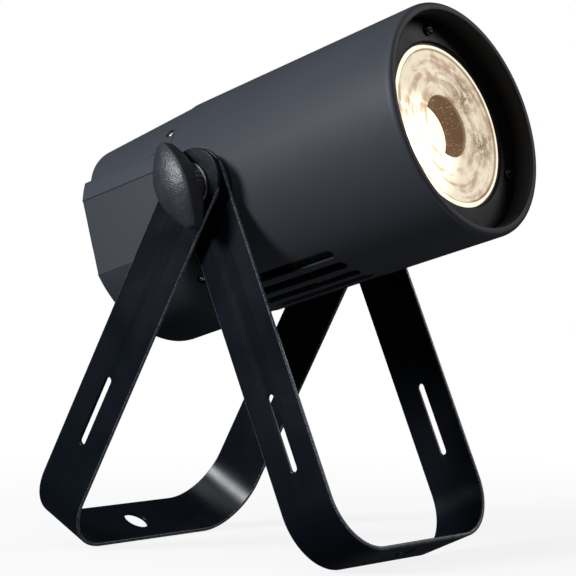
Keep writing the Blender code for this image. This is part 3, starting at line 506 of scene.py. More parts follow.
def painted_gap_and_hood_shade(finish, base):
    """Painted shade: narrow gaps darkened where ambient occlusion finds them, and the inside of the hood around
    the lens made near-black.
    """
    # Painted shade: the colour darkens to near black where ambient occlusion finds a narrow gap.
    gap_occlusion = finish.add("ShaderNodeAmbientOcclusion", {"Distance": 2.5 * MM}, samples=8)
    unshaded = finish.remap(gap_occlusion.outputs["AO"], 0.55, 0.92, 0.02, 1.0, smooth=True)
    x, y, z = finish.axes()
    radius = finish.distance(x, z)
    # Painted shade: the inner wall of the hood, behind the rim, is made near-black.
    inside = finish.remap(radius, RIM_INNER_RADIUS + 0.3 * MM, RIM_INNER_RADIUS + 1.1 * MM, 1.0, 0.0)
    forward = finish.remap(y, -BARREL_FRONT + 30 * MM, -BARREL_FRONT + 25 * MM)
    hood_shade = finish.times(inside, forward, clamp=True)
    return finish.mix(hood_shade, finish.mix(unshaded, GAP_SHADE_COLOUR, base), HOOD_SHADE_COLOUR)


def coated(name, colour, edge_highlight_colour, roughness):
    """Powder coat on steel: orange-peel skin, and lighter edges that are a painted highlight, speckled like rubbed
    paint.
    """
    finish = Finish(name)
    across = finish.math("ABSOLUTE", finish.axes()["Y"])
    # Painted highlight: a band along both long edges is lightened, broken into speckles.
    edge_start, edge_end = STRAP_HALF_WIDTH - 0.7 * MM, STRAP_HALF_WIDTH - 0.2 * MM
    edge = finish.remap(across, edge_start, edge_end, smooth=True)
    highlight_speckles = finish.remap(finish.noise(0.9 * MM, detail=4), 0.35, 0.65, 0.15, 1.0)
    dust = finish.noise(35 * MM, detail=4, distortion=0.6)
    base = finish.mix(dust, *shades(colour, 0.8, 1.25))
    peel = finish.bump(finish.noise(0.9 * MM, detail=1), 0.012 * MM)
    inputs = {
        "Base Color": finish.mix(finish.times(edge, highlight_speckles, clamp=True), base, edge_highlight_colour),
        "Roughness": finish.varied(dust, roughness - 0.05, roughness + 0.05),
        "Specular IOR Level": 0.3,
        "Normal": finish.bump(finish.noise(0.28 * MM, detail=1), 0.006 * MM, peel),
    }
    return finish.shaded(inputs)


def metal(name, colour, roughness, grain=(1, 1, 1)):
    """Plated or machined metal with fine marks; grain stretches them along an axis."""
    finish = Finish(name)
    stretched = finish.add("ShaderNodeMapping", {"Vector": finish.place, "Scale": grain})
    marks = finish.noise(0.5 * MM, detail=4, place=stretched.outputs["Vector"])
    inputs = {
        "Base Color": finish.mix(finish.noise(6 * MM, detail=3), *shades(colour, 0.78, 1)),
        "Metallic": 1,
        "Roughness": finish.varied(marks, roughness - 0.06, roughness + 0.1),
        "Normal": finish.bump(marks, 0.008 * MM),
    }
    return finish.shaded(inputs)


def board_finish():
    """Green solder mask with lighter copper tracks under it."""
    finish = Finish("solder_mask")
    inputs = {
        "Vector": finish.place,
        "Scale": 160,
        "Mortar Size": 0.06,
        "Color1": (0.012, 0.1, 0.04),
        "Color2": (0.014, 0.12, 0.05),
        "Mortar": (0.03, 0.2, 0.08),
    }
    tracks = finish.add("ShaderNodeTexBrick", inputs).outputs
    inputs = {
        "Base Color": tracks["Color"],
        "Roughness": finish.varied(finish.noise(3 * MM), 0.3, 0.42),
        "Normal": finish.bump(tracks["Fac"], -0.03 * MM),
    }
    return finish.shaded(inputs)


def spot(finish, x, z, centre, radius):
    """A soft round mask on the lens's face, 1 at its centre and 0 past its radius."""
    distance = finish.distance(finish.minus(x, centre[0]), finish.minus(z, centre[1]))
    return finish.remap(distance, 0.0, radius, 1.0, 0.0, smooth=True)


def lens_pattern(finish, x, z, radius):
    """Streaks around the lens's axis, and the same streaks blended with clouds."""
    inputs = {
        "X": finish.plus(finish.math("DIVIDE", x, radius), 5.3),
        "Y": finish.plus(finish.math("DIVIDE", z, radius), 2.6),
        "Z": finish.times(radius, 1 / (5 * MM)),
    }
    around = finish.add("ShaderNodeCombineXYZ", inputs).outputs["Vector"]
    streaks = finish.noise(0.8, detail=4, place=around, distortion=0.5)
    # The clouds have a seam at x = 0, so their place is moved well away from the lens.
    shifted = finish.add("ShaderNodeVectorMath", {0: finish.place, 1: (0.4, 0.0, 0.4)}, operation="ADD")
    clouds = finish.noise(12 * MM, detail=4, place=shifted.outputs["Vector"], distortion=1.5)
    return streaks, finish.plus(finish.times(streaks, 0.6), finish.times(clouds, 0.4))


def lens_finish():
    """Lit collimator lens: creamy streaks, tan patches with sparks, a brown well wall."""
    finish = Finish("lit_lens")
    x, y, z = finish.axes()
    radius = finish.distance(x, z)
    streaks, pattern = lens_pattern(finish, x, z, radius)
    face = finish.mix(finish.remap(pattern, 0.38, 0.56, smooth=True), TAN, CREAM)

    spots = [spot(finish, x, z, centre, LENS_PATCH_RADIUS) for centre in LENS_PATCHES]
    patches = finish.math("MAXIMUM", *spots)
    blotches = finish.remap(finish.noise(3.5 * MM, detail=4), 0.35, 0.6, 0.2, 1.0, smooth=True)
    face = finish.mix(finish.times(patches, blotches), face, BROWN)
    sparks = finish.remap(finish.cells(1.1 * MM), 0.1, 0.34, 1.0, 0.0, smooth=True)
    patch_sparks = finish.times(sparks, finish.times(patches, 0.85))
    face = finish.mix(patch_sparks, face, SPARK)

    lip_start = LENS_RADIUS - LENS_RING_WIDTH
    from_groove = finish.math("ABSOLUTE", finish.minus(radius, lip_start - 0.5 * MM))
    face = finish.mix(finish.remap(from_groove, 0.2 * MM, 0.5 * MM, 0.65, 0.0), face, BROWN)

    # The well: its wall is dark with a few bright dots, and its floor is lit.
    wall_edge = LENS_WELL_RADIUS - 0.1 * MM
    floor_edge = LENS_WELL_RADIUS - 0.9 * MM
    within_wall = finish.remap(radius, wall_edge, wall_edge + 0.25 * MM, 1, 0)
    deep = finish.remap(y, -LENS_FACE + 1.2 * MM, -LENS_FACE + 1.6 * MM)
    floor = finish.remap(radius, floor_edge, floor_edge + 0.3 * MM, 1, 0)
    in_well = finish.times(within_wall, deep)
    dots = finish.times(sparks, finish.remap(finish.noise(7 * MM), 0.45, 0.6, 0.0, 0.8))
    face = finish.mix(in_well, face, finish.mix(dots, WELL_WALL, WELL_DOT))
    face = finish.mix(floor, face, WELL_FLOOR)

    glow = finish.times(spot(finish, x, z, LENS_GLOW_AT, LENS_GLOW_RADIUS), GLOW_STRENGTH)
    glow = finish.times(glow, finish.remap(pattern, 0.36, 0.56, 0.5, 1.0, smooth=True))
    lip_edge = (lip_start - 0.15 * MM, lip_start + 0.2 * MM)
    lip = finish.remap(radius, *lip_edge, 0.0, LIP_STRENGTH, smooth=True)
    face = finish.mix(finish.times(lip, 2.8), face, LIP_LIGHT)
    extra = finish.plus(finish.plus(glow, lip), finish.times(floor, FLOOR_STRENGTH))
    extra = finish.plus(extra, finish.times(patch_sparks, SPARK_STRENGTH))
    off_wall = finish.minus(1.0, finish.times(in_well, finish.minus(1.0, floor)))
    inputs = {
        "Emission Color": face,
        "Emission Strength": finish.plus(LENS_STRENGTH, finish.times(extra, off_wall)),
        "Base Color": finish.mix(0.85, face, LENS_UNLIT),
        "Roughness": 0.3,
        "Specular IOR Level": 0.1,
        "Normal": finish.bump(streaks, 0.05 * MM),
    }
    return finish.shaded(inputs)


def phosphor_finish():
    finish = Finish("lit_phosphor")
    colour = finish.mix(finish.cells(1.4 * MM), (1.0, 0.88, 0.6), (1.0, 0.7, 0.3))
    return finish.shaded({"Emission Color": colour, "Base Color": colour, "Emission Strength": 3})


FINISHES = {
    # The barrel's colour carries painted shade in its narrow gaps and inside the hood.
    "barrel_plastic": moulded(
        "satin_barrel", (0.05, 0.054, 0.066), 0.55, 0.35, 0.006, 60, 0.07, 0.3, painted_gap_and_hood_shade
    ),
    # The strap's lighter edge colour is a painted highlight.
    "strap_paint": coated("black_powder_coat", (0.004, 0.006, 0.01), (0.16, 0.18, 0.21), 0.3),
    "knob_plastic": moulded("textured_knob", (0.034, 0.036, 0.044), 0.38, 0.6, 0.14, 8),
    "zinc_steel": metal("zinc_plate", (0.66, 0.66, 0.64), 0.26),
    "dull_steel": metal("dull_zinc", (0.2, 0.2, 0.21), 0.46),
    "black_steel": metal("black_oxide", (0.05, 0.05, 0.055), 0.34),
    "brass": metal("turned_brass", (0.74, 0.53, 0.23), 0.26, (1, 6, 1)),
    "black_fibre": moulded("black_fibre_washer", (0.014, 0.014, 0.015), 0.8, 0.25, 0.03),
    "plate_paint": moulded("satin_black_plate", (0.004, 0.004, 0.0045), 0.5, 0.3, 0.01, specular=0.2),
    "lens_acrylic": lens_finish(),
    "gasket_rubber": moulded("gasket_rubber_black", (0.012, 0.012, 0.012), 0.85, 0.3, 0.02),
    "emitter_phosphor": phosphor_finish(),
    "circuit_board": board_finish(),
    "cast_aluminium": metal("plain_aluminium", (0.6, 0.61, 0.63), 0.4, (1, 0.1, 1)),
    "ferrite": moulded("ferrite_core", (0.05, 0.045, 0.04), 0.7, 0.4, 0.03),
    "capacitor_sleeve": moulded("capacitor_film", (0.02, 0.03, 0.09), 0.3, 2, 0.01),
    "panel_paint": moulded("satin_black_panel", (0.018, 0.019, 0.022), 0.5, 0.35, 0.02),
    "inlet_plastic": moulded("glossy_inlet", (0.014, 0.014, 0.015), 0.28, 0.6, 0.004),
    "red_insulation": moulded("red_lead", (0.16, 0.008, 0.008), 0.42, 1, 0.01),
    "blue_insulation": moulded("blue_lead", (0.02, 0.06, 0.35), 0.42, 1, 0.01),
}


def add_piece(node, part, shape, look, placing=HEAD, body="head", sharp=35):
    """Put a shape into the scene: it rides on a body and stands for a CAD node."""
    name = f"{node}_{part}"
    mesh = shape if isinstance(shape, bpy.types.Mesh) else mesh_of(shape, name)
    if not mesh.materials:
        mesh.materials.append(FINISHES[look])
    mesh.shade_smooth()
    mesh.set_sharp_from_angle(angle=radians(sharp))
    piece = new_object(mesh, name)
    piece.matrix_world = placing
    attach(piece, body)
    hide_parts(node)


# ------------ brackets


def add_loop(curve, points):
    spline = curve.splines.new("POLY")
    spline.points.add(len(points) - 1)
    for slot, (x, y) in zip(spline.points, points):
        slot.co = (x, y, 0, 1)
    spline.use_cyclic_u = True


def flat_strap(pivot_at, half_width):
    """The strap as cut from flat bar, long in X, with rounded edges all round."""
    curve = bpy.data.curves.new("flat_strap", "CURVE")
    curve.dimensions = "2D"
    curve.fill_mode = "BOTH"
    curve.extrude = STRAP_THICKNESS / 2 - STRAP_EDGE
    curve.bevel_depth = STRAP_EDGE
    curve.bevel_resolution = 5
    curve.offset = -STRAP_EDGE
    end = arc((pivot_at + STRAP_END_RISE, 0), half_width, -90, 90, 32)
    add_loop(curve, end + [(-x, -y) for x, y in end])
    add_loop(curve, arc((0, 0), CLAMP_HOLE_RADIUS, 0, 350, 35))
    slot_middle = pivot_at - (SLOT_TOP + SLOT_BOTTOM) / 2
    slot = stadium_outline(SLOT_BOTTOM - SLOT_TOP, SLOT_WIDTH)
    for side in (-1, 1):
        add_loop(curve, arc((side * pivot_at, 0), STUD_HOLE_RADIUS, 0, 350, 35))
        add_loop(curve, [(side * slot_middle + x, y) for x, y in slot])
    shape = evaluated(new_object(curve))
    bmesh.ops.remove_doubles(shape, verts=shape.verts[:], dist=0.001 * MM)
    return shape


def bent(shape, half_span, leg):
    """Bend a flat strap into a U whose legs hang along -Z; the bar ends up at -leg."""
    flat = half_span - BEND_RADIUS
    half_thick = STRAP_THICKNESS / 2
    for side in (-1, 1):
        cuts = [flat + BEND_LENGTH * i / BEND_STEPS for i in range(BEND_STEPS + 1)]
        for reach in [flat - 1 * MM, *cuts, flat + BEND_LENGTH + 1 * MM]:
            at = side * reach
            geometry = shape.verts[:] + shape.edges[:] + shape.faces[:]
            bmesh.ops.bisect_plane(
                shape, geom=geometry, plane_co=(at, 0, 0), plane_no=(1, 0, 0), dist=0.001 * MM
            )
    for vertex in shape.verts:
        x, y, height = vertex.co
        side, reach = copysign(1, x), abs(x)
        if reach <= flat:
            place = (reach, -leg + half_thick + height)
        elif reach <= flat + BEND_LENGTH:
            angle = (reach - flat) / BEND_NEUTRAL
            radius = BEND_NEUTRAL - height
            place = (flat + radius * sin(angle), -leg + BEND_RADIUS - radius * cos(angle))
        else:
            rise = reach - flat - BEND_LENGTH + BEND_RADIUS - leg
            place = (half_span - half_thick - height, rise)
        vertex.co = (side * place[0], y, place[1])
    bmesh.ops.recalc_face_normals(shape, faces=shape.faces[:])
    return shape


def add_bracket(node, placing):
    low, high = local_box(node, placing)
    half_span, leg, half_width = high.x, -low.z, high.y
    pivot_at = half_span - BEND_RADIUS + BEND_LENGTH + leg - BEND_RADIUS
    shape = bent(flat_strap(pivot_at, half_width), half_span, leg)
    add_piece(node, "strap", shape, "strap_paint", placing, node, sharp=STRAP_SHARP_ANGLE)


# ------------ clamp


def knob_section(share, reach, half_width):
    """Outline across the knob's wing at a share of its half length, from -1 to 1."""
    tip = KNOB_TIP_WIDTH / 2
    half = tip + (half_width - tip) * (1 - share**2)
    front = reach - KNOB_CROWN * share**2
    back = KNOB_WING_BASE
    step = front - KNOB_CAP_DEPTH - half * 0.12
    under = half - KNOB_CAP_LIP
    corners = [
        (under, back, 1 * MM),
        (under, step - 0.3 * MM, 0.3 * MM),
        (half, step, 0.3 * MM),
        (half, front - half * 0.22, half * 0.3),
        (0, front, half * 0.95),
    ]
    corners += [(-x, along, size) for x, along, size in reversed(corners[:4])]
    rounding = min(1, max(0, (abs(share) - 0.95) / 0.05))
    closing = 1 - 0.35 * (1 - sqrt(1 - rounding**2))
    middle = (front + back) / 2
    outline = rounded(corners, 5)
    return [(x * closing, middle + (along - middle) * closing) for x, along in outline]


def knob_wing(low, high):
    """The wing: a leaf-shaped, crowned cap on a body that reaches down to the washer."""
    stations = 56
    loops = []
    for i in range(stations + 1):
        share = -cos(pi * i / stations)
        outline = knob_section(share, -low.y, high.x)
        loops.append([(x, -along, share * high.z) for x, along in outline])
    return loft(loops)


def knob_hub(base):
    """The ribbed collar between the wing and the washer."""
    edge = 0.4 * MM
    ends = ((0.95, 0), (1, edge), (1, KNOB_HUB_LENGTH - edge), (0.95, KNOB_HUB_LENGTH))
    flutes = (KNOB_FLUTES * 8, KNOB_FLUTES, KNOB_FLUTE_DEPTH)
    return loft([circle(KNOB_HUB_RADIUS * share, base + along, *flutes) for share, along in ends])


def add_clamp(side_name):
    placing = CLAMP[side_name]
    knob_placing = placing @ Matrix.Rotation(KNOB_TURNS[side_name], 4, "Y")
    knob, stud = "knob_" + side_name, "stud_" + side_name
    low, high = local_box(knob, knob_placing)
    stud_low, stud_high = local_box(stud, knob_placing)
    stud_radius = stud_high.x
    base = -high.y
    bore_end = -stud_low.y + 0.3 * MM
    bore = turned_solid([(stud_radius + 0.3 * MM, base - 1 * MM, 0), (stud_radius, bore_end, 0)], 32)
    wing = boolean(boolean(knob_wing(low, high), knob_hub(base), "UNION"), bore)
    add_piece(knob, "wing", wing, "knob_plastic", knob_placing, knob)
    thread = threaded_stud(-stud_high.y, -stud_low.y, stud_radius)
    add_piece(stud, "thread", thread, "zinc_steel", knob_placing, knob)
    inner = stud_radius + 0.5 * MM
    rings = {
        "clamp_washer_": ("dull_steel", "clamp_" + side_name, 0.25 * MM),
        "spacer_": ("black_fibre", "outer_bracket", 0.5 * MM),
        "friction_washer_": ("black_fibre", "inner_bracket", 0.2 * MM),
        "threaded_insert_": ("brass", "head", 0.3 * MM),
    }
    for prefix, (look, body, edge) in rings.items():
        node = prefix + side_name
        low, high = local_box(node, placing)
        outer, start, end = high.x, -high.y, -low.y
        corners = [(inner, start, edge), (outer, start, edge), (outer, end, edge), (inner, end, edge)]
        add_piece(node, "ring", turned_ring(rounded(corners), 72), look, placing, body)


def threaded_stud(inner, outer, radius):
    """A stud with thread crests and roots as fine rings along it."""
    root = radius - THREAD_DEPTH
    corners = [(root, inner, 0.2 * MM)]
    for i in range(int((outer - inner - 2 * MM) / THREAD_PITCH)):
        start = inner + 1 * MM + i * THREAD_PITCH
        crest = [(radius, start + THREAD_PITCH * share, 0) for share in (0.45, 0.55)]
        corners += [(root, start, 0), *crest]
    corners.append((root, outer, 0.2 * MM))
    return turned_solid(corners, 32)


# ------------ barrel


def tube_radius(along):
    return SEAM_RADIUS + BARREL_DRAFT * (along - SEAM)


def within_flat(radius, angle, flat):
    """Radius at an angle once the flats on both sides have cut the circle."""
    return min(radius, flat / max(abs(cos(angle)), 0.01))


def tube_section(angle):
    """Outline of the front tube's wall at one angle, with a soft rim and seam edge."""
    ledge_face = PLATE_REAR - 0.3 * MM
    ledge_back = ledge_face - 3 * MM
    inner_front = ledge_back - 4 * MM
    inner_rear = SEAM + 5 * MM
    spigot_flat = SIDE_FLAT - WALL - 0.3 * MM
    spigot = within_flat(SPIGOT_RADIUS, angle, spigot_flat)
    inside = within_flat(SPIGOT_RADIUS - SPIGOT_WALL, angle, spigot_flat - SPIGOT_WALL)
    corners = [
        (SEAM_RADIUS, SEAM, 0.5 * MM),
        (FRONT_RADIUS, BARREL_FRONT, 3.2 * MM),
        (RIM_INNER_RADIUS, BARREL_FRONT, 1.3 * MM),
        (RIM_INNER_RADIUS, ledge_face, 0),
        (LEDGE_RADIUS, ledge_face, FINE),
        (LEDGE_RADIUS, ledge_back, FINE),
        (tube_radius(inner_front) - WALL, inner_front, 0),
        (tube_radius(inner_rear) - WALL, inner_rear, 0),
        (inside, SEAM + 1 * MM, 0),
        (inside, SPIGOT_END, FINE),
        (spigot, SPIGOT_END, FINE),
        (spigot, SEAM, 0),
    ]
    return [barrel_point(radius, along, angle) for radius, along in rounded(corners, 6)]


def vent_cutters():
    """Slots in the belly, flared a little where they meet the skin."""
    cutters = []
    middle = (VENT_REAR + VENT_FRONT) / 2
    skin = tube_radius(middle)
    flares = {VENT_CUT_FROM: 0, skin - 0.7 * MM: 0, skin + 0.6 * MM: 0.7 * MM, VENT_CUT_TO: 1.5 * MM}
    for i in range(VENT_COUNT):
        angle = -pi / 2 + VENT_PITCH * (i - (VENT_COUNT - 1) / 2)
        loops = []
        for along, flare in flares.items():
            outline = stadium_outline(VENT_FRONT - VENT_REAR + flare, VENT_WIDTH + flare, 8)
            loops.append([(x, -along, z) for x, z in outline])
        cutters.append(moved(loft(loops), facing_out(angle, middle)))
    return combined(cutters)


def screw_wells():
    wells = []
    for angle in SEAM_SCREW_ANGLES:
        corners = [
            (SCREW_HOLE_RADIUS, SEAM_SCREW_SEAT - SCREW_WELL_DEPTH, 0),
            (SCREW_HOLE_RADIUS, SEAM_SCREW_SEAT, 0),
            (SCREW_WELL_RADIUS, SEAM_SCREW_SEAT, 0),
            (SCREW_WELL_RADIUS, SEAM_SCREW_SEAT + SCREW_WELL_DEPTH, 0),
        ]
        wells.append(moved(turned_solid(corners, 40), facing_out(angle, SEAM_SCREW_ALONG)))
    return combined(wells)


def add_front_tube():
    shape = loft([tube_section(angle) for angle in turns(ROUND)], ring=True)
    boss = [(BOSS_RADIUS, BOSS_INNER_END, 0), (BOSS_RADIUS, BOSS_FACE, 0.5 * MM)]
    hole = [(INSERT_HOLE_RADIUS, BOSS_INNER_END - WALL, 0), (INSERT_HOLE_RADIUS, BOSS_FACE + WALL, 0)]
    bosses = combined([moved(turned_solid(boss, 96), facing_side(side)) for side in (-1, 1)])
    holes = combined([moved(turned_solid(hole, 48), facing_side(side)) for side in (-1, 1)])
    shape = boolean(boolean(shape, bosses, "UNION"), holes)
    shape = boolean(boolean(shape, vent_cutters()), screw_wells())
    add_piece("front_tube", "shell", shape, "barrel_plastic")


def housing_radius(along, rear_radius):
    share = (SEAM - along) / (SEAM - REAR_END)
    start = SEAM_RADIUS - 0.4 * MM
    return start + (rear_radius - start) * share


def shell_section(angle, rear_radius, rake):
    """Outline of a rear shell's wall at one angle; rake carries its rear end backwards."""
    start = SEAM - SEAM_GAP
    end = REAR_END - rake
    ledge_front = REAR_LEDGE_FACE + REAR_LEDGE_THICKNESS
    corners = [
        (housing_radius(start, rear_radius), start, 0.5 * MM),
        (rear_radius, end, 1.7 * MM),
        (REAR_RIM_INNER_RADIUS, end, 0.6 * MM),
        (REAR_RIM_INNER_RADIUS, REAR_LEDGE_FACE, 0),
        (REAR_LEDGE_RADIUS, REAR_LEDGE_FACE, FINE),
        (REAR_LEDGE_RADIUS, ledge_front, FINE),
        (housing_radius(ledge_front, rear_radius) - WALL, ledge_front, 0),
        (housing_radius(start, rear_radius) - WALL, start, FINE),
    ]
    step = FLAT_STEP if SIDE_FLAT / abs(cos(angle)) < rear_radius - 0.02 * MM else 0
    points = []
    for number, (radius, along, size) in enumerate(corners):
        flat = SIDE_FLAT - (step if number < 2 else WALL)
        points.append((within_flat(radius, angle, flat), along, size))
    return [barrel_point(radius, along, angle) for radius, along in rounded(points, 5)]


def shell_angles(start, end):
    """Angles along a shell, with close pairs where its side flats begin."""
    count = ceil((end - start) / SHELL_PITCH)
    angles = [start + (end - start) * i / count for i in range(count + 1)]
    crease = acos(SIDE_FLAT / LOWER_RADIUS)
    for middle in [turn + side * crease for turn in (pi, 2 * pi) for side in (-1, 1)]:
        angles = [angle for angle in angles if abs(angle - middle) > radians(0.55)]
        if start < middle < end:
            angles += [middle + radians(offset) for offset in (-0.45, -0.08, 0.08, 0.45)]
    return sorted(angles)


def shell_shape(start, end, rear_radius, rake):
    loops = []
    for angle in shell_angles(start, end):
        rise = (sin(angle) - sin(SPLIT_ANGLE)) / (1 - sin(SPLIT_ANGLE))
        loops.append(shell_section(angle, rear_radius, rake * max(rise, 0)))
    return loft(loops)


def add_rear_shells():
    slit = SPLIT_SLIT / SEAM_RADIUS
    near, far = SPLIT_ANGLE, pi - SPLIT_ANGLE
    shells = {
        "upper_cover": (near + slit, far - slit, UPPER_REAR_RADIUS, UPPER_RAKE),
        "lower_housing": (far + slit, 2 * pi + near - slit, LOWER_RADIUS, 0),
    }
    for node, shell in shells.items():
        shape = softened(shell_shape(*shell), 0.3 * MM)
        shape = boolean(boolean(shape, screw_wells()), rear_screw_holes())
        add_piece(node, "shell", shape, "barrel_plastic")


# ------------ screws


def screw_mesh(*sizes):
    """Domed head on along = 0 with a cross recess; screws of one size share this mesh."""
    head_radius, head_height, shank_radius, shank_length = [size * MM for size in sizes]
    corners = [
        (shank_radius * 0.7, -shank_length, 0.2 * MM),
        (shank_radius, -shank_length + 0.8 * MM, 0),
        (shank_radius, 0, 0),
        (head_radius, 0, 0.1 * MM),
        (head_radius, head_height * 0.55, 0.5 * MM),
        (head_radius * 0.6, head_height, 0.5 * MM),
    ]
    shape = turned_solid(corners, 40)
    arms = []
    for long_side, short_side in ((1.15, 0.3), (0.3, 1.15)):
        size = (head_radius * long_side, head_height, head_radius * short_side)
        arms.append(box(size, (0, -head_height, 0)))
    return mesh_of(boolean(shape, boolean(*arms, "UNION")), "cross_screw")


def add_screws():
    """Every screw takes the place of its CAD node."""
    seam = screw_mesh(2, 1.2, 1.2, 4.5)
    for number, angle in enumerate(SEAM_SCREW_ANGLES, 1):
        seat = facing_out(angle, SEAM_SCREW_ALONG) @ Matrix.Translation((0, -SEAM_SCREW_SEAT - FINE, 0))
        add_screw(f"seam_screw_{number}", seam, "zinc_steel", seat)
    board_face = -local_box("led_board")[0].y
    rows = (
        ("front_plate_screw", 3, (2.6, 1.6, 1.3, 4.2), "black_steel", PLATE_FACE + FINE, False),
        ("rear_panel_screw", 4, (2.3, 1.5, 1.2, 4), "black_steel", -PANEL_HIGH.y - FINE, True),
        ("led_board_screw", 2, (2.4, 1.5, 1.2, 4), "zinc_steel", board_face + FINE, False),
    )
    for stem, count, sizes, look, along, backward in rows:
        mesh = screw_mesh(*sizes)
        for node in numbered(stem, count):
            add_screw(node, mesh, look, on_face(node, along, backward))


def numbered(stem, count):
    return [f"{stem}_{number}" for number in range(1, count + 1)]


def on_face(node, along, backward=False):
    """Where a screw's CAD node stands on a face across the barrel."""
    low, high = local_box(node)
    middle = (low + high) / 2
    turn = Matrix.Rotation(pi if backward else 0, 4, "Z")
    return Matrix.Translation((middle.x, -along, middle.z)) @ turn


def screw_holes(stem, count, radius, start, end):
    """Cutters for a row of screws that stand across the barrel."""
    corners = [(radius, start, 0), (radius, end, 0)]
    cutters = [moved(turned_solid(corners, 24), on_face(node, 0)) for node in numbered(stem, count)]
    return combined(cutters)


def add_screw(node, mesh, look, seat):
    add_piece(node, "head", mesh, look, HEAD @ seat)


# ------------ optics


def add_front_plate():
    inner = LENS_RADIUS + 0.5 * MM
    outer = PLATE_HIGH.x
    corners = [
        (inner, PLATE_REAR, 0),
        (outer, PLATE_REAR, 0),
        (outer, PLATE_FACE, 0.3 * MM),
        (inner + 1.1 * MM, PLATE_FACE, 0.5 * MM),
        (inner, PLATE_FACE - 1.0 * MM, 0.4 * MM),
    ]
    hole = (PLATE_HOLE_RADIUS, PLATE_REAR - WALL, PLATE_FACE + WALL)
    shape = boolean(turned_ring(rounded(corners)), screw_holes("front_plate_screw", 3, *hole))
    add_piece("front_plate", "disc", shape, "plate_paint")


def add_lens():
    """Collimator lens: bright lip, shallow dish, a central well, and the cone behind."""
    face = LENS_FACE
    lip = LENS_RADIUS - LENS_RING_WIDTH
    cone_front = face - 6 * MM
    corners = [
        (2 * MM, LENS_REAR + 9 * MM, 0),
        (5 * MM, LENS_REAR + 7.5 * MM, 0.5 * MM),
        (6.5 * MM, LENS_REAR + 4 * MM, 0),
        (6.8 * MM, LENS_REAR, 0),
    ]
    for i in range(LENS_CONE_STEPS + 1):
        # The stations crowd towards the rear, where the cone's wall curves most.
        share = (i / LENS_CONE_STEPS) ** 1.6
        radius = LENS_CONE_REAR_RADIUS + (LENS_CONE_FRONT_RADIUS - LENS_CONE_REAR_RADIUS) * share**0.62
        corners.append((radius, LENS_REAR + (cone_front - LENS_REAR) * share, 0))
    corners += [
        (LENS_CONE_FRONT_RADIUS, face - 3.9 * MM, 0),
        (LENS_HIGH.x, face - 3.9 * MM, 0.2 * MM),
        (LENS_HIGH.x, face - 2 * MM, 0.2 * MM),
        (LENS_RADIUS, face - 2 * MM, 0),
        (LENS_RADIUS, face, 0.9 * MM),
        (lip, face, 0.5 * MM),
        (lip - 0.6 * MM, face - 0.9 * MM, 0.5 * MM),
        (28 * MM, face - 1.5 * MM, 6 * MM),
        (LENS_WELL_RADIUS + 2 * MM, face - 0.7 * MM, 2 * MM),
        (LENS_WELL_RADIUS, face - 0.9 * MM, 0.5 * MM),
        (LENS_WELL_RADIUS - 0.5 * MM, LENS_WELL_FLOOR, 0.5 * MM),
        (LENS_WELL_RADIUS * 0.6, LENS_WELL_FLOOR + 1.4 * MM, 3 * MM),
        (LENS_WELL_RADIUS * 0.1, LENS_WELL_FLOOR + 2.2 * MM, 0),
    ]
    add_piece("lens", "disc", turned_solid(corners, ROUND, 5), "lens_acrylic", sharp=60)


# ------------ rear panel


def rear_screw_holes():
    hole = (SCREW_HOLE_RADIUS, REAR_END, REAR_LEDGE_FACE + 4 * MM)
    return screw_holes("rear_panel_screw", 4, *hole)


def middle_x(node):
    low, high = local_box(node)
    return (low.x + high.x) / 2


def add_rear_panel():
    front, rear = -PANEL_LOW.y, -PANEL_HIGH.y
    outer = PANEL_HIGH.x
    shape = turned_solid([(outer, front, 0.2 * MM), (outer, rear, 0.4 * MM)])
    inlet_hole = box(INLET_HOLE, (middle_x("power_inlet"), -(front + rear) / 2, 0))
    corners = [(FUSE_HOLE_RADIUS, rear - 3 * MM, 0), (FUSE_HOLE_RADIUS, front + 3 * MM, 0)]
    fuse_hole = moved(turned_solid(corners, 48), Matrix.Translation((middle_x("fuse_holder"), 0, 0)))
    shape = boolean(boolean(shape, combined([inlet_hole, fuse_hole])), rear_screw_holes())
    add_piece("rear_panel", "disc", shape, "panel_paint")


def inlet_outline(width, height, notch, x):
    """A rectangle whose two upper corners are cut off, as on a mains inlet."""
    a, b = width / 2, height / 2
    corners = [
        (x - a, -b, 1 * MM),
        (x + a, -b, 1 * MM),
        (x + a, b - notch, 0.6 * MM),
        (x + a - notch, b, 0.6 * MM),
        (x - a + notch, b, 0.6 * MM),
        (x - a, b - notch, 0.6 * MM),
    ]
    return rounded(corners)


def add_power_inlet():
    low, high = local_box("power_inlet")
    x = middle_x("power_inlet")
    width, height = high.x - low.x, high.z - low.z
    mouth = -high.y
    flange_front = -PANEL_HIGH.y - FLANGE_LIFT
    floor = -low.y - 1.5 * MM
    # Each ring is trimmed from the flange's size and has its upper corners notched, in mm.
    rings = [
        (8, 4, floor),
        (8, 4, mouth + 0.5 * MM),
        (7, 4, mouth),
        (1, 1, mouth),
        (0, 1, mouth + 0.5 * MM),
        (0, 1, flange_front),
        (5, 1, flange_front),
        (5, 1, floor + 1.5 * MM),
    ]
    loops = []
    for trim, notch, along in rings:
        outline = inlet_outline(width - trim * MM, height - trim * MM, notch * MM, x)
        loops.append([(px, -along, pz) for px, pz in outline])
    add_piece("power_inlet", "socket", loft(loops), "inlet_plastic")
    for pin in ("live", "neutral", "earth"):
        node = "inlet_pin_" + pin
        low, high = local_box(node)
        shape = softened(box(high - low, (low + high) / 2), 0.4 * MM)
        add_piece(node, "blade", shape, "zinc_steel")


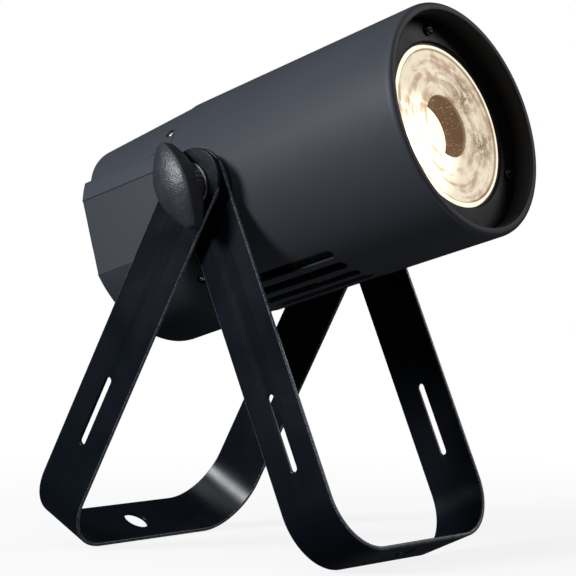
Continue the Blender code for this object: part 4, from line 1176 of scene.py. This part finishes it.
def add_fuse():
    low, high = local_box("fuse_holder")
    seat = HEAD @ Matrix.Translation((middle_x("fuse_holder"), 0, 0))
    radius = (high.x - low.x) / 2
    rear, front, flange = -high.y, -low.y, -PANEL_HIGH.y - FLANGE_LIFT
    corners = [
        (FUSE_BORE_RADIUS, rear, 0.3 * MM),
        (radius, rear, 0.6 * MM),
        (radius, flange, 0.2 * MM),
        (FUSE_BODY_RADIUS, flange, 0),
        (FUSE_BODY_RADIUS, front, 0.3 * MM),
        (FUSE_BORE_RADIUS, front, 0.3 * MM),
    ]
    add_piece("fuse_holder", "collar", turned_ring(rounded(corners), 72), "inlet_plastic", seat)
    low, high = local_box("fuse_cap", seat)
    end, base = -high.y, rear - 0.3 * MM
    segments = 96
    loops = [circle(high.x * 0.86, end, segments), circle(high.x * 0.97, end + 0.5 * MM, segments)]
    for along in (end + 1.1 * MM, base):
        loops.append(circle(high.x, along, segments, FUSE_RIDGES, FUSE_RIDGE_DEPTH))
    loops += [circle(FUSE_STEM_RADIUS, along, segments) for along in (base, -low.y)]
    driver_slot = box((1.2 * MM, 2.4 * MM, 12 * MM), (0, -end, 0))
    add_piece("fuse_cap", "ridged", boolean(loft(loops), driver_slot), "inlet_plastic", seat, "fuse_cap")


# ------------ inner pieces

INNER_PIECES = {
    "plate_paint": ["lens_holder"],
    "gasket_rubber": ["lens_gasket"],
    "emitter_phosphor": ["led_emitter"],
    "circuit_board": ["led_board", "driver_board"],
    "cast_aluminium": ["heatsink"],
    "ferrite": ["driver_transformer"],
    "capacitor_sleeve": numbered("driver_capacitor", 2),
    "brass": numbered("board_post", 4),
    "red_insulation": ["led_lead"],
    "blue_insulation": ["mains_lead"],
}


def dress_inner_pieces():
    """Give the CAD nodes that have no finer piece a better finish."""
    for look, nodes in INNER_PIECES.items():
        for node in nodes:
            materials = frame["nodes"][node].data.materials
            materials.clear()
            materials.append(FINISHES[look])


# ------------ stage

CAMERA_AZIMUTH = radians(-51.87)
CAMERA_ELEVATION = radians(-1.87)
CAMERA_DISTANCE = 1.0993
CAMERA_LENS = 138.52
CAMERA_PAN = radians(0.17)
CAMERA_TILT = radians(-2.52)
CAMERA_ROLL = radians(0.27)
SENSOR_WIDTH = 36
CLIP_START = 0.01
BACKGROUND = 1.0
AMBIENT = 0.025
FLOOR_RADIUS = 4
FLOOR_DROP = 0.2 * MM
FLOOR_FADE = (0.12, 0.6, 0.86, 1.0)


def direction(azimuth, elevation):
    """Unit vector from angles in radians; azimuth 0 is in front of the lens."""
    level = cos(elevation)
    return Vector((sin(azimuth) * level, -cos(azimuth) * level, sin(elevation)))


def add_camera():
    data = bpy.data.cameras.new("camera")
    data.lens = CAMERA_LENS
    data.sensor_width = SENSOR_WIDTH
    data.clip_start = CLIP_START
    camera = new_object(data, "camera")
    back = direction(CAMERA_AZIMUTH, CAMERA_ELEVATION)
    right = (-back).cross(Vector((0, 0, 1))).normalized()
    up = right.cross(-back)
    aim = -back + right * tan(CAMERA_PAN) + up * tan(CAMERA_TILT)
    camera.location = PIVOT + back * CAMERA_DISTANCE
    camera.rotation_mode = "QUATERNION"
    camera.rotation_quaternion = aim.to_track_quat("-Z", "Y") @ Quaternion((0, 0, 1), CAMERA_ROLL)
    bpy.context.scene.camera = camera


def add_softbox(name, azimuth, elevation, distance, size, power, colour=(1, 1, 1)):
    """A rectangular lamp aimed at the clamp axis, from angles in degrees."""
    data = bpy.data.lights.new(name, "AREA")
    data.shape = "RECTANGLE"
    data.size, data.size_y = size
    data.energy = power
    data.color = colour
    lamp = new_object(data, name)
    back = direction(radians(azimuth), radians(elevation))
    lamp.location = PIVOT + back * distance
    lamp.rotation_mode = "QUATERNION"
    lamp.rotation_quaternion = (-back).to_track_quat("-Z", "Y")
    lamp.visible_camera = False


def add_floor():
    """Pale floor with a soft shadow near the stand, fading to the plain backdrop."""
    shape = bmesh.new()
    bmesh.ops.create_circle(shape, cap_ends=True, segments=96, radius=FLOOR_RADIUS)
    floor = new_object(mesh_of(shape, "floor"), "floor")
    floor.location = (0, 0, -FLOOR_DROP)
    finish = Finish("pale_floor")
    matte = finish.add("ShaderNodeBsdfDiffuse", {"Color": (0.85, 0.85, 0.85)})
    glow = finish.add("ShaderNodeEmission", {"Strength": BACKGROUND})
    distance = finish.add("ShaderNodeVectorMath", {0: finish.place}, operation="LENGTH")
    share = finish.remap(distance.outputs["Value"], *FLOOR_FADE, smooth=True)
    mixer = finish.add("ShaderNodeMixShader", {0: share, 1: matte.outputs[0], 2: glow.outputs[0]})
    finish.put(finish.tree.nodes["Material Output"].inputs["Surface"], mixer.outputs[0])
    floor.data.materials.append(finish.material)
    floor.visible_diffuse = False
    floor.visible_glossy = False
    floor.visible_shadow = False


def add_world():
    """A white backdrop that lights the object only faintly."""
    world = bpy.data.worlds.new("studio")
    bpy.context.scene.world = world
    nodes = Nodes(world)
    backdrop = nodes.tree.nodes["Background"]
    nodes.put(backdrop.inputs["Color"], (1, 1, 1))
    nodes.put(backdrop.inputs["Strength"], BACKGROUND)
    ambient = nodes.add("ShaderNodeBackground", {"Color": (0.8, 0.88, 1), "Strength": AMBIENT})
    seen = nodes.add("ShaderNodeLightPath").outputs["Is Camera Ray"]
    mixer = nodes.add("ShaderNodeMixShader", {0: seen, 1: ambient.outputs[0], 2: backdrop.outputs[0]})
    nodes.put(nodes.tree.nodes["World Output"].inputs["Surface"], mixer.outputs[0])


def add_lights():
    add_softbox("key_light", -109, 25, 1.8, (0.45, 0.45), 31, (0.93, 0.97, 1.0))
    add_softbox("top_light", -94, 67, 1.4, (0.6, 0.8), 4.5)
    add_softbox("front_light", -42, 33, 1.8, (0.5, 0.5), 2)
    add_softbox("rim_light", 61, 27, 1.8, (0.4, 0.8), 5)
    add_softbox("bounce_light", -12, -40, 1.2, (0.5, 0.25), 2)


def build():
    add_camera()
    add_bracket("outer_bracket", OUTER)
    add_bracket("inner_bracket", INNER)
    for side_name in SIDES:
        add_clamp(side_name)
    add_front_tube()
    add_rear_shells()
    add_screws()
    add_front_plate()
    add_lens()
    add_rear_panel()
    add_power_inlet()
    add_fuse()
    dress_inner_pieces()
    add_world()
    add_floor()
    add_lights()
    bpy.context.scene.view_settings.view_transform = "Standard"


build()
